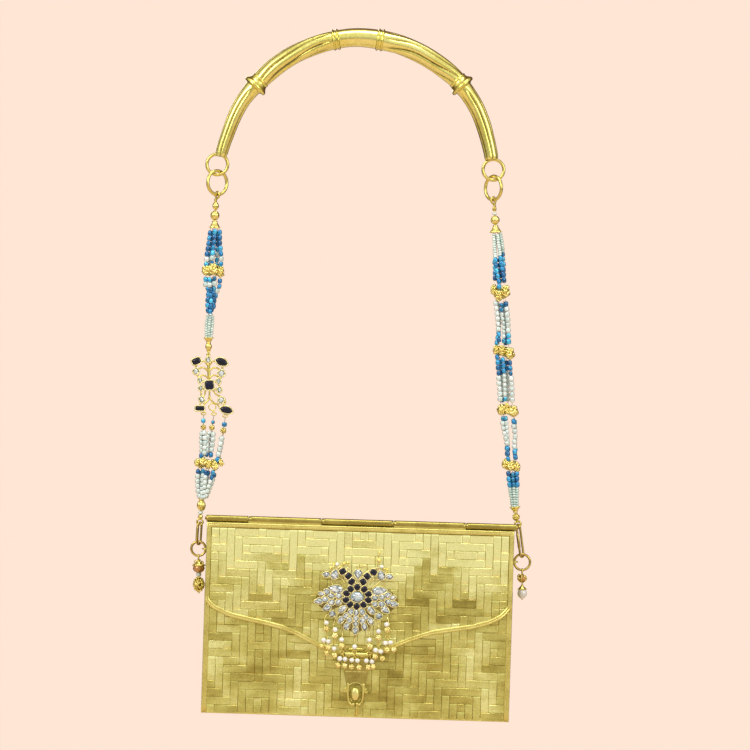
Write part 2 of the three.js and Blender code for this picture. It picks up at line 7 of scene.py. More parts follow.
import bpy
import bmesh
import numpy as np
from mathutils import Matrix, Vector

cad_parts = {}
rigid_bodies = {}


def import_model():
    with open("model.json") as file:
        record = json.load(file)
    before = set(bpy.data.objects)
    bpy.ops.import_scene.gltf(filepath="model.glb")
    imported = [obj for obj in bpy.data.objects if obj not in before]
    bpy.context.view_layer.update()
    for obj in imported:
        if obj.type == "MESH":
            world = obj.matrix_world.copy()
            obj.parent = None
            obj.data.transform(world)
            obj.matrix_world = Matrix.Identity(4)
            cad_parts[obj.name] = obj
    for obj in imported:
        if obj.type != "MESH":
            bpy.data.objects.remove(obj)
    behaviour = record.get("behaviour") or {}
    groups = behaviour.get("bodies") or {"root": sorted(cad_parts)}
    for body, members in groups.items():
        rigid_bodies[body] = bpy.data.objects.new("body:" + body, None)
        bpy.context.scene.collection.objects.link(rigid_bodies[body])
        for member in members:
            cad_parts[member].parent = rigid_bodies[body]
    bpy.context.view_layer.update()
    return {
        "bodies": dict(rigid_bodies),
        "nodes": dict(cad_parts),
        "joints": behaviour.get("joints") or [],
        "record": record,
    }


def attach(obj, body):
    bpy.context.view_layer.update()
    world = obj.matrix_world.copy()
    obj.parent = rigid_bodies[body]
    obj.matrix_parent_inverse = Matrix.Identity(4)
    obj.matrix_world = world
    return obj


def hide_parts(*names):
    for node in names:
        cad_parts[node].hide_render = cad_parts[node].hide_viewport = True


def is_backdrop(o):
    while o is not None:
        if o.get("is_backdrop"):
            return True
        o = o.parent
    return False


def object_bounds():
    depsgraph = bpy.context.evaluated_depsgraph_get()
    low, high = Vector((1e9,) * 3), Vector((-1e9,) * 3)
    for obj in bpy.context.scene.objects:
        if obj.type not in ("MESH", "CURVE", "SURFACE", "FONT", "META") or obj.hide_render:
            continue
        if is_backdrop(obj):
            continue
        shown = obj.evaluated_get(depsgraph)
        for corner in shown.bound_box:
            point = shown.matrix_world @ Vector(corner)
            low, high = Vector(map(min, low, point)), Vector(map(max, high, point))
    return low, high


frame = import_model()

scene = bpy.context.scene
MM = 0.001
GRID = 0.66  # mm per layout unit
TILT = math.radians(1.8)
COS, SIN = math.cos(TILT), math.sin(TILT)
CASE_C = (-0.066, 2.65, -378.774)


def PX(u, v, y=0.0):
    """Layout units to a point in mm."""
    return np.array([(u - 358) * GRID, y, (46.5 - v) * GRID])


def CW(x, y, z):
    """Case frame to the row frame, mm."""
    return np.array([CASE_C[0] + x * COS + z * SIN, CASE_C[1] + y, CASE_C[2] - x * SIN + z * COS])


def CL(u, v):
    """Layout units to the case frame's x and z, mm."""
    p = PX(u, v)
    dx, dz = p[0] - CASE_C[0], p[2] - CASE_C[2]
    return dx * COS - dz * SIN, dx * SIN + dz * COS


def CLD(u, v, y):
    """Layout units to the case frame's x and z for a point at depth y, as seen from the camera."""
    f = 0.66 * (2400.0 + y) / 2400.0
    dx, dz = 11.22 + (u - 375) * f - CASE_C[0], -216.81 + (375 - v) * f - CASE_C[2]
    return dx * COS - dz * SIN, dx * SIN + dz * COS


# ------------------------------------------------------------------ camera
cam_data = bpy.data.cameras.new("camera")
cam = bpy.data.objects.new("camera", cam_data)
scene.collection.objects.link(cam)
cam.location = (0.01122, -2.4, -0.21681)
cam.rotation_euler = (math.pi / 2, 0, 0)
cam_data.type = "PERSP"
cam_data.sensor_width = 36.0
cam_data.lens = 36.0 * 2.4 / 0.495
cam_data.clip_end = 50
scene.camera = cam


# ------------------------------------------------------------------ mesh helpers
def unit(v):
    v = np.asarray(v, float)
    n = np.linalg.norm(v)
    return v / n if n > 1e-12 else v


def basis(axis):
    """Two unit vectors square to the axis."""
    a = unit(axis)
    h = np.array([0.0, 1.0, 0.0]) if abs(a[1]) < 0.9 else np.array([1.0, 0.0, 0.0])
    e1 = unit(np.cross(h, a))
    return e1, np.cross(a, e1), a


class Build:
    """Collects closed shells in mm and makes one object of them."""

    def __init__(self):
        self.v, self.f, self.m, self.t, self.s, self.n = [], [], [], [], [], 0

    def add(self, verts, faces, mat=0, tone=0.5, smooth=True):
        verts = np.asarray(verts, float).reshape(-1, 3)
        off = self.n
        self.v.append(verts)
        self.n += len(verts)
        for face in faces:
            self.f.append([i + off for i in face])
        k = len(faces)
        self.m.extend([mat] * k if np.isscalar(mat) else list(mat))
        self.t.extend([tone] * k if np.isscalar(tone) else list(tone))
        self.s.extend([smooth] * k if isinstance(smooth, bool) else list(smooth))
        return off

    def make(self, name, mats, body, replaces=(), recalc=True):
        me = bpy.data.meshes.new(name)
        v = np.concatenate(self.v) * MM
        me.from_pydata([tuple(p) for p in v], [], self.f)
        me.polygons.foreach_set("material_index", np.array(self.m, np.int32))
        me.polygons.foreach_set("use_smooth", np.array(self.s, bool))
        tone = me.attributes.new("tone", "FLOAT", "FACE")
        tone.data.foreach_set("value", np.array(self.t, np.float32))
        for m in mats:
            me.materials.append(m)
        if recalc:
            bm = bmesh.new()
            bm.from_mesh(me)
            bmesh.ops.recalc_face_normals(bm, faces=bm.faces)
            bm.to_mesh(me)
            bm.free()
        me.update()
        ob = bpy.data.objects.new(name, me)
        scene.collection.objects.link(ob)
        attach(ob, body)
        if replaces:
            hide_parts(*replaces)
        return ob


def lathe(B, origin, axis, profile, n=16, mat=0, tone=0.5, flat=(1.0, 1.0), loop=False, smooth=True, twist=None):
    """profile: (height, radius) pairs along the axis, poles at radius 0, or a closed loop."""
    e1, e2, a = basis(axis)
    o = np.asarray(origin, float)
    ang = np.arange(n) * 2 * math.pi / n
    verts, rings = [], []
    for k, (h, r) in enumerate(profile):
        if r <= 1e-6:
            rings.append([len(verts)])
            verts.append(o + a * h)
        else:
            ring = []
            for t in ang:
                rr = r if twist is None else r * twist(t, h)
                ring.append(len(verts))
                verts.append(o + a * h + e1 * (math.cos(t) * rr * flat[0]) + e2 * (math.sin(t) * rr * flat[1]))
            rings.append(ring)
    faces = []
    pairs = list(zip(rings[:-1], rings[1:]))
    if loop:
        pairs.append((rings[-1], rings[0]))
    for p, q in pairs:
        if len(p) == 1 and len(q) == 1:
            continue
        for i in range(n):
            j = (i + 1) % n
            if len(p) == 1:
                faces.append([p[0], q[j], q[i]])
            elif len(q) == 1:
                faces.append([p[i], p[j], q[0]])
            else:
                faces.append([p[i], p[j], q[j], q[i]])
    if not loop:
        if len(rings[0]) > 1:
            faces.append(rings[0][::-1])
        if len(rings[-1]) > 1:
            faces.append(rings[-1])
    B.add(verts, faces, mat, tone, smooth)


def ball(B, c, r, n=12, m=8, mat=0, tone=0.5, axis=(0, 0, 1), stretch=1.0):
    prof = [(-math.cos(math.pi * i / m) * r * stretch, math.sin(math.pi * i / m) * r) for i in range(m + 1)]
    prof[0] = (-r * stretch, 0)
    prof[-1] = (r * stretch, 0)
    lathe(B, c, axis, prof, n, mat, tone)


def torus(B, c, axis, R, r, n=40, m=10, mat=0, tone=0.5, oval=(1.0, 1.0), arc=None):
    e1, e2, a = basis(axis)
    pts = []
    if arc is None:
        for i in range(n):
            t = 2 * math.pi * i / n
            pts.append(np.asarray(c, float) + e1 * math.cos(t) * R * oval[0] + e2 * math.sin(t) * R * oval[1])
        tube(B, pts, r, m, closed=True, mat=mat, tone=tone, plane=a)
    else:
        t0, t1 = arc
        for i in range(n + 1):
            t = t0 + (t1 - t0) * i / n
            pts.append(np.asarray(c, float) + e1 * math.cos(t) * R * oval[0] + e2 * math.sin(t) * R * oval[1])
        tube(B, pts, r, m, mat=mat, tone=tone, plane=a)


def tube(B, pts, radius, m=10, closed=False, mat=0, tone=0.5, plane=None, section=None, round_ends=False, smooth=True, flat=1.0):
    """A tube along points. plane: a fixed side direction. section: function(k, angle) -> (side, up) in mm."""
    P = [np.asarray(p, float) for p in pts]
    n = len(P)
    rad = [radius] * n if np.isscalar(radius) else list(radius)
    if round_ends and not closed:
        d0, d1 = unit(P[0] - P[1]), unit(P[-1] - P[-2])
        pre, post = [], []
        for k in (1, 2, 3):
            t = math.pi / 2 * k / 3.0
            pre.insert(0, (P[0] + d0 * rad[0] * math.sin(t), max(rad[0] * math.cos(t), rad[0] * 0.02)))
            post.append((P[-1] + d1 * rad[-1] * math.sin(t), max(rad[-1] * math.cos(t), rad[-1] * 0.02)))
        P = [p for p, _ in pre] + P + [p for p, _ in post]
        rad = [r for _, r in pre] + rad + [r for _, r in post]
        n = len(P)
    T = []
    for i in range(n):
        if closed:
            d = P[(i + 1) % n] - P[(i - 1) % n]
        else:
            d = P[min(i + 1, n - 1)] - P[max(i - 1, 0)]
        T.append(unit(d))
    if plane is not None:
        S = [unit(plane - np.dot(plane, t) * t) for t in T]
    else:
        e1, _, _ = basis(T[0])
        S = [e1]
        for i in range(1, n):
            s = S[-1] - np.dot(S[-1], T[i]) * T[i]
            S.append(unit(s))
    verts = []
    for i in range(n):
        s = S[i]
        u = np.cross(T[i], s)
        for k in range(m):
            t = 2 * math.pi * k / m
            if section is None:
                a, b = math.cos(t) * rad[i] * flat, math.sin(t) * rad[i]
            else:
                a, b = section(i, t)
            verts.append(P[i] + s * a + u * b)
    faces = []
    for i in range(n if closed else n - 1):
        j = (i + 1) % n
        for k in range(m):
            l = (k + 1) % m
            faces.append([i * m + k, i * m + l, j * m + l, j * m + k])
    if not closed:
        faces.append(list(range(m))[::-1])
        faces.append([(n - 1) * m + k for k in range(m)])
    B.add(verts, faces, mat, tone, smooth)


def smooth_path(pts, step):
    """Catmull-Rom through the points, resampled evenly."""
    P = [np.asarray(p, float) for p in pts]
    P = [2 * P[0] - P[1]] + P + [2 * P[-1] - P[-2]]
    fine = []
    for i in range(1, len(P) - 2):
        a, b, c, d = P[i - 1], P[i], P[i + 1], P[i + 2]
        for k in range(12):
            t = k / 12.0
            fine.append(0.5 * (2 * b + (c - a) * t + (2 * a - 5 * b + 4 * c - d) * t * t + (3 * b - a - 3 * c + d) * t ** 3))
    fine.append(P[-2])
    fine = np.array(fine)
    seg = np.linalg.norm(np.diff(fine, axis=0), axis=1)
    s = np.concatenate([[0], np.cumsum(seg)])
    n = max(2, int(round(s[-1] / step)) + 1)
    q = np.linspace(0, s[-1], n)
    return [np.array([np.interp(x, s, fine[:, k]) for k in range(3)]) for x in q]


def along(pts):
    """Arc length table of a polyline: a function from distance to (point, direction), and its length."""
    P = np.array(pts)
    seg = np.linalg.norm(np.diff(P, axis=0), axis=1)
    s = np.concatenate([[0], np.cumsum(seg)])

    def at(x):
        x = min(max(x, 0), s[-1])
        p = np.array([np.interp(x, s, P[:, k]) for k in range(3)])
        h = 0.3
        a = np.array([np.interp(max(x - h, 0), s, P[:, k]) for k in range(3)])
        b = np.array([np.interp(min(x + h, s[-1]), s, P[:, k]) for k in range(3)])
        return p, unit(b - a)

    return at, s[-1]


def lerp_table(table, x):
    xs = [t[0] for t in table]
    ys = [t[1] for t in table]
    return float(np.interp(x, xs, ys))


# ------------------------------------------------------------------ materials
def new_material(name):
    m = bpy.data.materials.new(name)
    m.use_nodes = True
    nt = m.node_tree
    return m, nt, nt.nodes["Principled BSDF"]


def link(nt, a, b):
    nt.links.new(a, b)


def coords(nt, scale=(1, 1, 1)):
    tc = nt.nodes.new("ShaderNodeTexCoord")
    if scale == (1, 1, 1):
        return tc.outputs["Object"]
    mp = nt.nodes.new("ShaderNodeMapping")
    mp.inputs["Scale"].default_value = scale
    link(nt, tc.outputs["Object"], mp.inputs["Vector"])
    return mp.outputs["Vector"]


def noise(nt, vec, scale, detail=3.0, rough=0.55, distortion=0.0):
    n = nt.nodes.new("ShaderNodeTexNoise")
    n.inputs["Scale"].default_value = scale
    n.inputs["Detail"].default_value = detail
    n.inputs["Roughness"].default_value = rough
    n.inputs["Distortion"].default_value = distortion
    link(nt, vec, n.inputs["Vector"])
    return n.outputs["Fac"]


def voronoi(nt, vec, scale, feature="F1"):
    n = nt.nodes.new("ShaderNodeTexVoronoi")
    n.feature = feature
    n.inputs["Scale"].default_value = scale
    link(nt, vec, n.inputs["Vector"])
    return n.outputs["Distance"]


def ramp(nt, fac, stops):
    r = nt.nodes.new("ShaderNodeValToRGB")
    el = r.color_ramp.elements
    while len(el) < len(stops):
        el.new(0.5)
    for e, (p, c) in zip(el, stops):
        e.position = p
        e.color = (*c, 1.0) if len(c) == 3 else c
    link(nt, fac, r.inputs["Fac"])
    return r.outputs["Color"]


def spread(nt, value, a, b, c, d):
    n = nt.nodes.new("ShaderNodeMapRange")
    for k, x in zip(("From Min", "From Max", "To Min", "To Max"), (a, b, c, d)):
        n.inputs[k].default_value = x
    link(nt, value, n.inputs["Value"])
    return n.outputs["Result"]


def multiply(nt, a, b, fac=1.0):
    n = nt.nodes.new("ShaderNodeMix")
    n.data_type = "RGBA"
    n.blend_type = "MULTIPLY"
    n.inputs[0].default_value = fac
    link(nt, a, n.inputs[6])
    link(nt, b, n.inputs[7])
    return n.outputs[2]


def blend_colors(nt, fac, a, b):
    n = nt.nodes.new("ShaderNodeMix")
    n.data_type = "RGBA"
    if hasattr(fac, "links"):
        link(nt, fac, n.inputs[0])
    else:
        n.inputs[0].default_value = fac
    for src, k in ((a, 6), (b, 7)):
        if hasattr(src, "links"):
            link(nt, src, n.inputs[k])
        else:
            n.inputs[k].default_value = (*src, 1.0)
    return n.outputs[2]


def math_node(nt, op, a, b):
    n = nt.nodes.new("ShaderNodeMath")
    n.operation = op
    for src, k in ((a, 0), (b, 1)):
        if hasattr(src, "links"):
            link(nt, src, n.inputs[k])
        else:
            n.inputs[k].default_value = src
    return n.outputs[0]


def bump(nt, p, height, strength, distance, prior=None):
    n = nt.nodes.new("ShaderNodeBump")
    n.inputs["Strength"].default_value = strength
    n.inputs["Distance"].default_value = distance
    link(nt, height, n.inputs["Height"])
    if prior is not None:
        link(nt, prior, n.inputs["Normal"])
    link(nt, n.outputs["Normal"], p.inputs["Normal"])
    return n.outputs["Normal"]


def tone(nt):
    a = nt.nodes.new("ShaderNodeAttribute")
    a.attribute_name = "tone"
    return a.outputs["Fac"]


def metal(name, dark, mid, light, rough=(0.12, 0.26), patch=60.0, grain=1400.0, grain_depth=0.00002, grain_strength=0.25, use_tone=True):
    """A metal whose colour follows the piece's tone, with soft blotches, a fine grain and uneven polish."""
    m, nt, p = new_material(name)
    p.inputs["Metallic"].default_value = 1.0
    co = coords(nt)
    n1 = noise(nt, co, patch, 4, 0.6)
    n2 = noise(nt, co, grain, 3, 0.6)
    if use_tone:
        t = math_node(nt, "ADD", tone(nt), spread(nt, n1, 0.3, 0.7, -0.14, 0.14))
    else:
        t = spread(nt, n1, 0.25, 0.75, 0.2, 0.8)
    c = ramp(nt, t, [(0.0, dark), (0.5, mid), (1.0, light)])
    g = ramp(nt, n2, [(0.3, (0.80, 0.79, 0.76)), (0.6, (1, 1, 1))])
    link(nt, multiply(nt, c, g), p.inputs["Base Color"])
    r = math_node(nt, "ADD", spread(nt, n1, 0.3, 0.7, rough[0], rough[1]), spread(nt, n2, 0.3, 0.7, -0.03, 0.05))
    link(nt, r, p.inputs["Roughness"])
    bump(nt, p, n2, grain_strength, grain_depth)
    return m


M = {}
M["gold"] = metal("polished_gold", (0.46, 0.35, 0.055), (0.74, 0.655, 0.13), (0.92, 0.89, 0.30), (0.07, 0.15), 45, 900, 0.00001, 0.08, False)
# the near-black dark stop of fluted_gold is reached only through the painted crease shade in the handle's tone
M["handle"] = metal("fluted_gold", (0.14, 0.09, 0.012), (0.78, 0.695, 0.142), (0.98, 0.955, 0.42), (0.15, 0.22), 35, 700, 0.000006, 0.05)
for mat_ in (M["handle"],):
    shader = mat_.node_tree.nodes["Principled BSDF"]
    shader.inputs["Coat Weight"].default_value = 0.7
    shader.inputs["Coat Roughness"].default_value = 0.12
# darker gold for the side rings and the hook links
M["aged"] = metal("aged_gold", (0.20, 0.12, 0.03), (0.54, 0.41, 0.11), (0.82, 0.70, 0.25), (0.16, 0.28), 130, 1500, 0.00002, 0.2)
M["ring"] = metal("ring_gold", (0.46, 0.34, 0.07), (0.74, 0.62, 0.17), (0.92, 0.84, 0.30), (0.14, 0.28), 130, 1500, 0.00002, 0.2)
M["bead"] = metal("bead_gold", (0.26, 0.18, 0.03), (0.80, 0.67, 0.20), (0.99, 0.93, 0.42), (0.12, 0.22), 300, 2500, 0.00002, 0.15)
M["pale"] = metal("pale_gold", (0.40, 0.28, 0.07), (0.80, 0.69, 0.25), (0.99, 0.94, 0.54), (0.14, 0.26), 300, 2500, 0.00002, 0.25)
M["antique"] = metal("antique_gold", (0.22, 0.12, 0.03), (0.42, 0.25, 0.06), (0.62, 0.42, 0.12), (0.22, 0.38), 300, 2200, 0.00003, 0.3)
M["bezel"] = metal("bezel_gold", (0.20, 0.14, 0.035), (0.68, 0.58, 0.22), (0.98, 0.91, 0.50), (0.14, 0.26), 400, 2600, 0.00002, 0.2)


def weave_material():
    m, nt, p = new_material("woven_gold")
    p.inputs["Metallic"].default_value = 1.0
    co = coords(nt)
    big = noise(nt, co, 38, 4, 0.6)
    streak = noise(nt, coords(nt, (38, 38, 190)), 1.0, 3, 0.6)
    sand = noise(nt, co, 2300, 4, 0.7)
    coarse = noise(nt, co, 900, 3, 0.6)
    t = math_node(nt, "ADD", tone(nt), spread(nt, big, 0.3, 0.7, -0.24, 0.22))
    t = math_node(nt, "ADD", t, spread(nt, streak, 0.3, 0.7, -0.15, 0.13))
    t = math_node(nt, "ADD", t, spread(nt, coarse, 0.3, 0.7, -0.07, 0.07))
    c = ramp(nt, t, [(0.0, (0.215, 0.175, 0.034)), (0.3, (0.465, 0.40, 0.094)), (0.6, (0.69, 0.652, 0.194)), (1.0, (0.99, 1.0, 0.46))])
    g = ramp(nt, sand, [(0.32, (0.58, 0.56, 0.47)), (0.5, (0.90, 0.90, 0.88)), (0.66, (1, 1, 1))])
    link(nt, multiply(nt, c, g), p.inputs["Base Color"])
    link(nt, math_node(nt, "ADD", spread(nt, coarse, 0.3, 0.7, 0.27, 0.40), spread(nt, sand, 0.35, 0.65, 0.06, -0.04)), p.inputs["Roughness"])
    b1 = bump(nt, p, sand, 0.55, 0.00006)
    bump(nt, p, coarse, 0.35, 0.00008, b1)
    return m


M["weave"] = weave_material()


def backing_and_gap_shade_material():
    m, nt, p = new_material("woven_gold_ground_gap_shade")
    p.inputs["Metallic"].default_value = 1.0
    co = coords(nt)
    n1 = noise(nt, co, 500, 4, 0.6)
    # the dark ground is partly the backing's own colour and partly painted shade for the gaps between the strips
    c = ramp(nt, n1, [(0.3, (0.13, 0.09, 0.02)), (0.7, (0.34, 0.26, 0.06))])
    link(nt, c, p.inputs["Base Color"])
    link(nt, spread(nt, n1, 0.3, 0.7, 0.38, 0.55), p.inputs["Roughness"])
    bump(nt, p, n1, 0.4, 0.00006)
    return m


M["ground"] = backing_and_gap_shade_material()


def glass(name, dark, mid, light, rough=0.14, metallic=0.0, coat=0.7, rainbow=None, scale=420.0):
    """Seed-bead glass: each bead has its own tone, with streaks inside the glass."""
    m, nt, p = new_material(name)
    co = coords(nt)
    n1 = noise(nt, co, scale, 3, 0.6, 0.6)
    t = math_node(nt, "ADD", tone(nt), spread(nt, n1, 0.3, 0.7, -0.22, 0.22))
    c = ramp(nt, t, [(0.0, dark), (0.5, mid), (1.0, light)])
    if rainbow is not None:
        n2 = noise(nt, co, scale * 1.7, 2, 0.5)
        c = blend_colors(nt, spread(nt, n2, 0.45, 0.75, 0.0, 0.5), c, rainbow)
    link(nt, c, p.inputs["Base Color"])
    link(nt, spread(nt, n1, 0.3, 0.7, rough * 0.7, rough * 1.5), p.inputs["Roughness"])
    p.inputs["Metallic"].default_value = metallic
    p.inputs["Coat Weight"].default_value = coat
    p.inputs["Coat Roughness"].default_value = 0.06
    p.inputs["IOR"].default_value = 1.55
    bump(nt, p, n1, 0.12, 0.00005)
    return m


M["blue"] = glass("blue_glass", (0.001, 0.022, 0.11), (0.004, 0.215, 0.50), (0.10, 0.70, 0.99), 0.14, 0.4, 0.5)
M["teal"] = glass("teal_glass", (0.001, 0.03, 0.10), (0.006, 0.16, 0.34), (0.09, 0.55, 0.74), 0.14, 0.4, 0.5)
M["white"] = glass("white_glass", (0.26, 0.35, 0.33), (0.53, 0.64, 0.61), (0.88, 0.96, 0.93), 0.20, 0.2, 0.6, (0.40, 0.51, 0.52))
M["mint"] = glass("mint_glass", (0.22, 0.35, 0.31), (0.46, 0.62, 0.57), (0.80, 0.94, 0.89), 0.2, 0.2, 0.6, (0.42, 0.55, 0.53))
M["pearl"] = glass("pearl", (0.52, 0.51, 0.46), (0.74, 0.745, 0.70), (0.90, 0.93, 0.89), 0.18, 0.0, 0.8, (0.55, 0.54, 0.50), 260)
M["amber"] = glass("amber_glass", (0.16, 0.05, 0.01), (0.42, 0.20, 0.04), (0.75, 0.48, 0.14), 0.12, 0.45, 0.8)


def stone_material(name, dark, mid, light, rough=0.06, metallic=0.55, coat=1.0):
    """Foil-backed cut stone: each facet has its own tone, and those tones paint the stone's sparkle as painted glints
    and painted shade.
    """
    m, nt, p = new_material(name)
    co = coords(nt)
    n1 = noise(nt, co, 600, 2, 0.5)
    t = math_node(nt, "ADD", tone(nt), spread(nt, n1, 0.3, 0.7, -0.10, 0.10))
    link(nt, ramp(nt, t, [(0.0, dark), (0.5, mid), (1.0, light)]), p.inputs["Base Color"])
    link(nt, spread(nt, n1, 0.3, 0.7, rough, rough * 2.2), p.inputs["Roughness"])
    p.inputs["Metallic"].default_value = metallic
    p.inputs["Coat Weight"].default_value = coat
    p.inputs["Specular IOR Level"].default_value = 0.5 * coat + 0.05
    p.inputs["Coat Roughness"].default_value = 0.04
    p.inputs["IOR"].default_value = 1.6
    return m


M["clear"] = stone_material("clear_stone", (0.03, 0.055, 0.07), (0.25, 0.32, 0.33), (0.94, 0.97, 0.98), 0.06, 0.45, 0.55)
M["centre"] = stone_material("centre_stone", (0.10, 0.16, 0.18), (0.38, 0.50, 0.52), (0.90, 0.96, 0.96), 0.06, 0.45, 0.55)
M["dark"] = stone_material("dark_stone", (0.001, 0.001, 0.004), (0.002, 0.003, 0.012), (0.010, 0.014, 0.06), 0.08, 0.0, 0.26)


def satin_material():
    m, nt, p = new_material("satin_lining")
    co = coords(nt)
    thread = noise(nt, coords(nt, (600, 600, 6000)), 1.0, 2, 0.5)
    fold = noise(nt, co, 55, 3, 0.5)
    c = ramp(nt, fold, [(0.3, (0.26, 0.165, 0.06)), (0.7, (0.42, 0.30, 0.13))])
    g = ramp(nt, thread, [(0.35, (0.80, 0.80, 0.80)), (0.65, (1, 1, 1))])
    link(nt, multiply(nt, c, g), p.inputs["Base Color"])
    link(nt, spread(nt, thread, 0.3, 0.7, 0.34, 0.46), p.inputs["Roughness"])
    p.inputs["Sheen Weight"].default_value = 0.5
    p.inputs["Sheen Roughness"].default_value = 0.35
    p.inputs["Anisotropic"].default_value = 0.5
    b = bump(nt, p, thread, 0.25, 0.00005)
    bump(nt, p, fold, 0.4, 0.0008, b)
    return m


M["satin"] = satin_material()


def thread_material():
    m, nt, p = new_material("bead_thread")
    co = coords(nt, (1, 1, 1))
    n1 = noise(nt, co, 3000, 2, 0.5)
    link(nt, ramp(nt, n1, [(0.3, (0.20, 0.19, 0.16)), (0.7, (0.42, 0.40, 0.35))]), p.inputs["Base Color"])
    link(nt, spread(nt, n1, 0.3, 0.7, 0.6, 0.8), p.inputs["Roughness"])
    bump(nt, p, n1, 0.4, 0.00005)
    return m


M["thread"] = thread_material()

# ------------------------------------------------------------------ studio
world = bpy.data.worlds.new("studio")
scene.world = world
world.use_nodes = True
wn = world.node_tree
for n in list(wn.nodes):
    wn.nodes.remove(n)
w_out = wn.nodes.new("ShaderNodeOutputWorld")
w_cam = wn.nodes.new("ShaderNodeBackground")
w_env = wn.nodes.new("ShaderNodeBackground")
w_mix = wn.nodes.new("ShaderNodeMixShader")
w_lp = wn.nodes.new("ShaderNodeLightPath")
w_tc = wn.nodes.new("ShaderNodeTexCoord")
w_sep = wn.nodes.new("ShaderNodeSeparateXYZ")
w_cam.inputs["Color"].default_value = (1.0, 0.791, 0.665, 1)
w_cam.inputs["Strength"].default_value = 1.0
wn.links.new(w_tc.outputs["Generated"], w_sep.inputs[0])
# brighter above and on the viewer's side, dimmer behind and below
w_y = wn.nodes.new("ShaderNodeMapRange")
for k, x in zip(("From Min", "From Max", "To Min", "To Max"), (-0.30, 0.62, 0.92, 0.16)):
    w_y.inputs[k].default_value = x
w_y.interpolation_type = "SMOOTHSTEP"
wn.links.new(w_sep.outputs["Y"], w_y.inputs["Value"])
w_z = wn.nodes.new("ShaderNodeMapRange")
for k, x in zip(("From Min", "From Max", "To Min", "To Max"), (-0.60, 0.45, 0.24, 1.12)):
    w_z.inputs[k].default_value = x
w_z.interpolation_type = "SMOOTHSTEP"
wn.links.new(w_sep.outputs["Z"], w_z.inputs["Value"])
w_m = wn.nodes.new("ShaderNodeMath")
w_m.operation = "MULTIPLY"
wn.links.new(w_y.outputs[0], w_m.inputs[0])
wn.links.new(w_z.outputs[0], w_m.inputs[1])
wn.links.new(w_m.outputs[0], w_env.inputs["Strength"])
w_tint = wn.nodes.new("ShaderNodeMix")
w_tint.data_type = "RGBA"
w_tint.inputs[6].default_value = (1.0, 0.60, 0.34, 1)
w_tint.inputs[7].default_value = (1.0, 0.97, 0.92, 1)
w_side = wn.nodes.new("ShaderNodeMapRange")
for k, x in zip(("From Min", "From Max", "To Min", "To Max"), (0.0, 0.5, 1.0, 0.0)):
    w_side.inputs[k].default_value = x
wn.links.new(w_sep.outputs["Y"], w_side.inputs["Value"])
wn.links.new(w_side.outputs[0], w_tint.inputs[0])
wn.links.new(w_tint.outputs[2], w_env.inputs["Color"])
wn.links.new(w_lp.outputs["Is Camera Ray"], w_mix.inputs["Fac"])
wn.links.new(w_env.outputs[0], w_mix.inputs[1])
wn.links.new(w_cam.outputs[0], w_mix.inputs[2])
wn.links.new(w_mix.outputs[0], w_out.inputs["Surface"])
scene.view_settings.view_transform = "Standard"
scene.view_settings.look = "None"
scene.view_settings.exposure = 0.0
scene.view_settings.gamma = 1.0


def area_light(name, loc, target, size, energy, color=(1, 1, 1), size_y=None):
    d = bpy.data.lights.new(name, "AREA")
    d.energy = energy
    d.color = color
    d.size = size
    if size_y:
        d.shape = "RECTANGLE"
        d.size_y = size_y
    o = bpy.data.objects.new(name, d)
    scene.collection.objects.link(o)
    o.location = loc
    o.rotation_euler = (Vector(target) - Vector(loc)).to_track_quat("-Z", "Y").to_euler()
    return o


area_light("key", (-1.1, -1.5, 0.75), (0, 0, -0.25), 0.9, 15, (1.0, 0.98, 0.94))
area_light("top", (0.1, -0.35, 1.1), (0, 0, -0.2), 0.8, 7, (1.0, 0.98, 0.95), 0.5)
area_light("fill", (1.3, -1.3, 0.3), (0, 0, -0.2), 0.8, 8.0, (1.0, 0.98, 0.94))
area_light("rear", (-0.6, 1.6, 0.5), (0, 0, -0.25), 1.0, 5, (1.0, 0.97, 0.93))

floor_mesh = bpy.data.meshes.new("studio_floor")
floor_mesh.from_pydata([(-2, -2.2, -0.6), (2, -2.2, -0.6), (2, 1.2, -0.6), (-2, 1.2, -0.6)], [], [(0, 1, 2, 3)])
floor = bpy.data.objects.new("studio_floor", floor_mesh)
scene.collection.objects.link(floor)
fm, fnt, fp = new_material("studio_floor")
link(fnt, ramp(fnt, noise(fnt, coords(fnt), 3.0), [(0.3, (0.80, 0.64, 0.55)), (0.7, (0.84, 0.67, 0.57))]), fp.inputs["Base Color"])
fp.inputs["Roughness"].default_value = 0.8
floor_mesh.materials.append(fm)
floor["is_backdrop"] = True

# ------------------------------------------------------------------ handle
ARC_Z = -87.12


def arc_point(deg):
    r = 93.06 - (1.1 if deg < 0 else 3.0) * (abs(deg) / 80) ** 2
    t = math.radians(deg)
    return np.array([r * math.sin(t), 0.0, ARC_Z + r * math.cos(t)])


def arc_tangent(deg):
    return unit(arc_point(deg + 0.5) - arc_point(deg - 0.5))


# Along the arc: how far the tube's centre lies outside the drawn arc, and its radius over the ridges.
TUBE = [(-81, -0.2, 4.0), (-76, -0.85, 4.25), (-72, -1.3, 4.4), (-68, -1.35, 4.55), (-64, -1.15, 4.75), (-60, -0.95, 4.85), (-56, -0.85, 4.95), (-52, -0.95, 5.2),
        (-44, -1.3, 5.95), (-40, -1.3, 6.3), (-36, -1.2, 6.45), (-30, -1.0, 6.45), (-24, -0.85, 6.35), (-16, -0.6, 6.25), (-9, -0.25, 6.15), (-4, 0.0, 6.1), (0, 0.0, 6.15),
        (4, -0.15, 6.3), (9, -0.35, 6.45), (14, -0.5, 6.6), (24, -0.5, 6.6), (32, -0.45, 6.5), (38, -0.35, 6.3), (44, -0.2, 6.05), (52, -0.15, 5.45), (56, -0.25, 5.35),
        (60, -0.4, 5.25), (64, -0.75, 5.15), (68, -1.05, 5.1), (72, -1.3, 4.9), (76, -1.2, 4.75), (80, -0.95, 4.6), (83, -0.8, 4.5)]
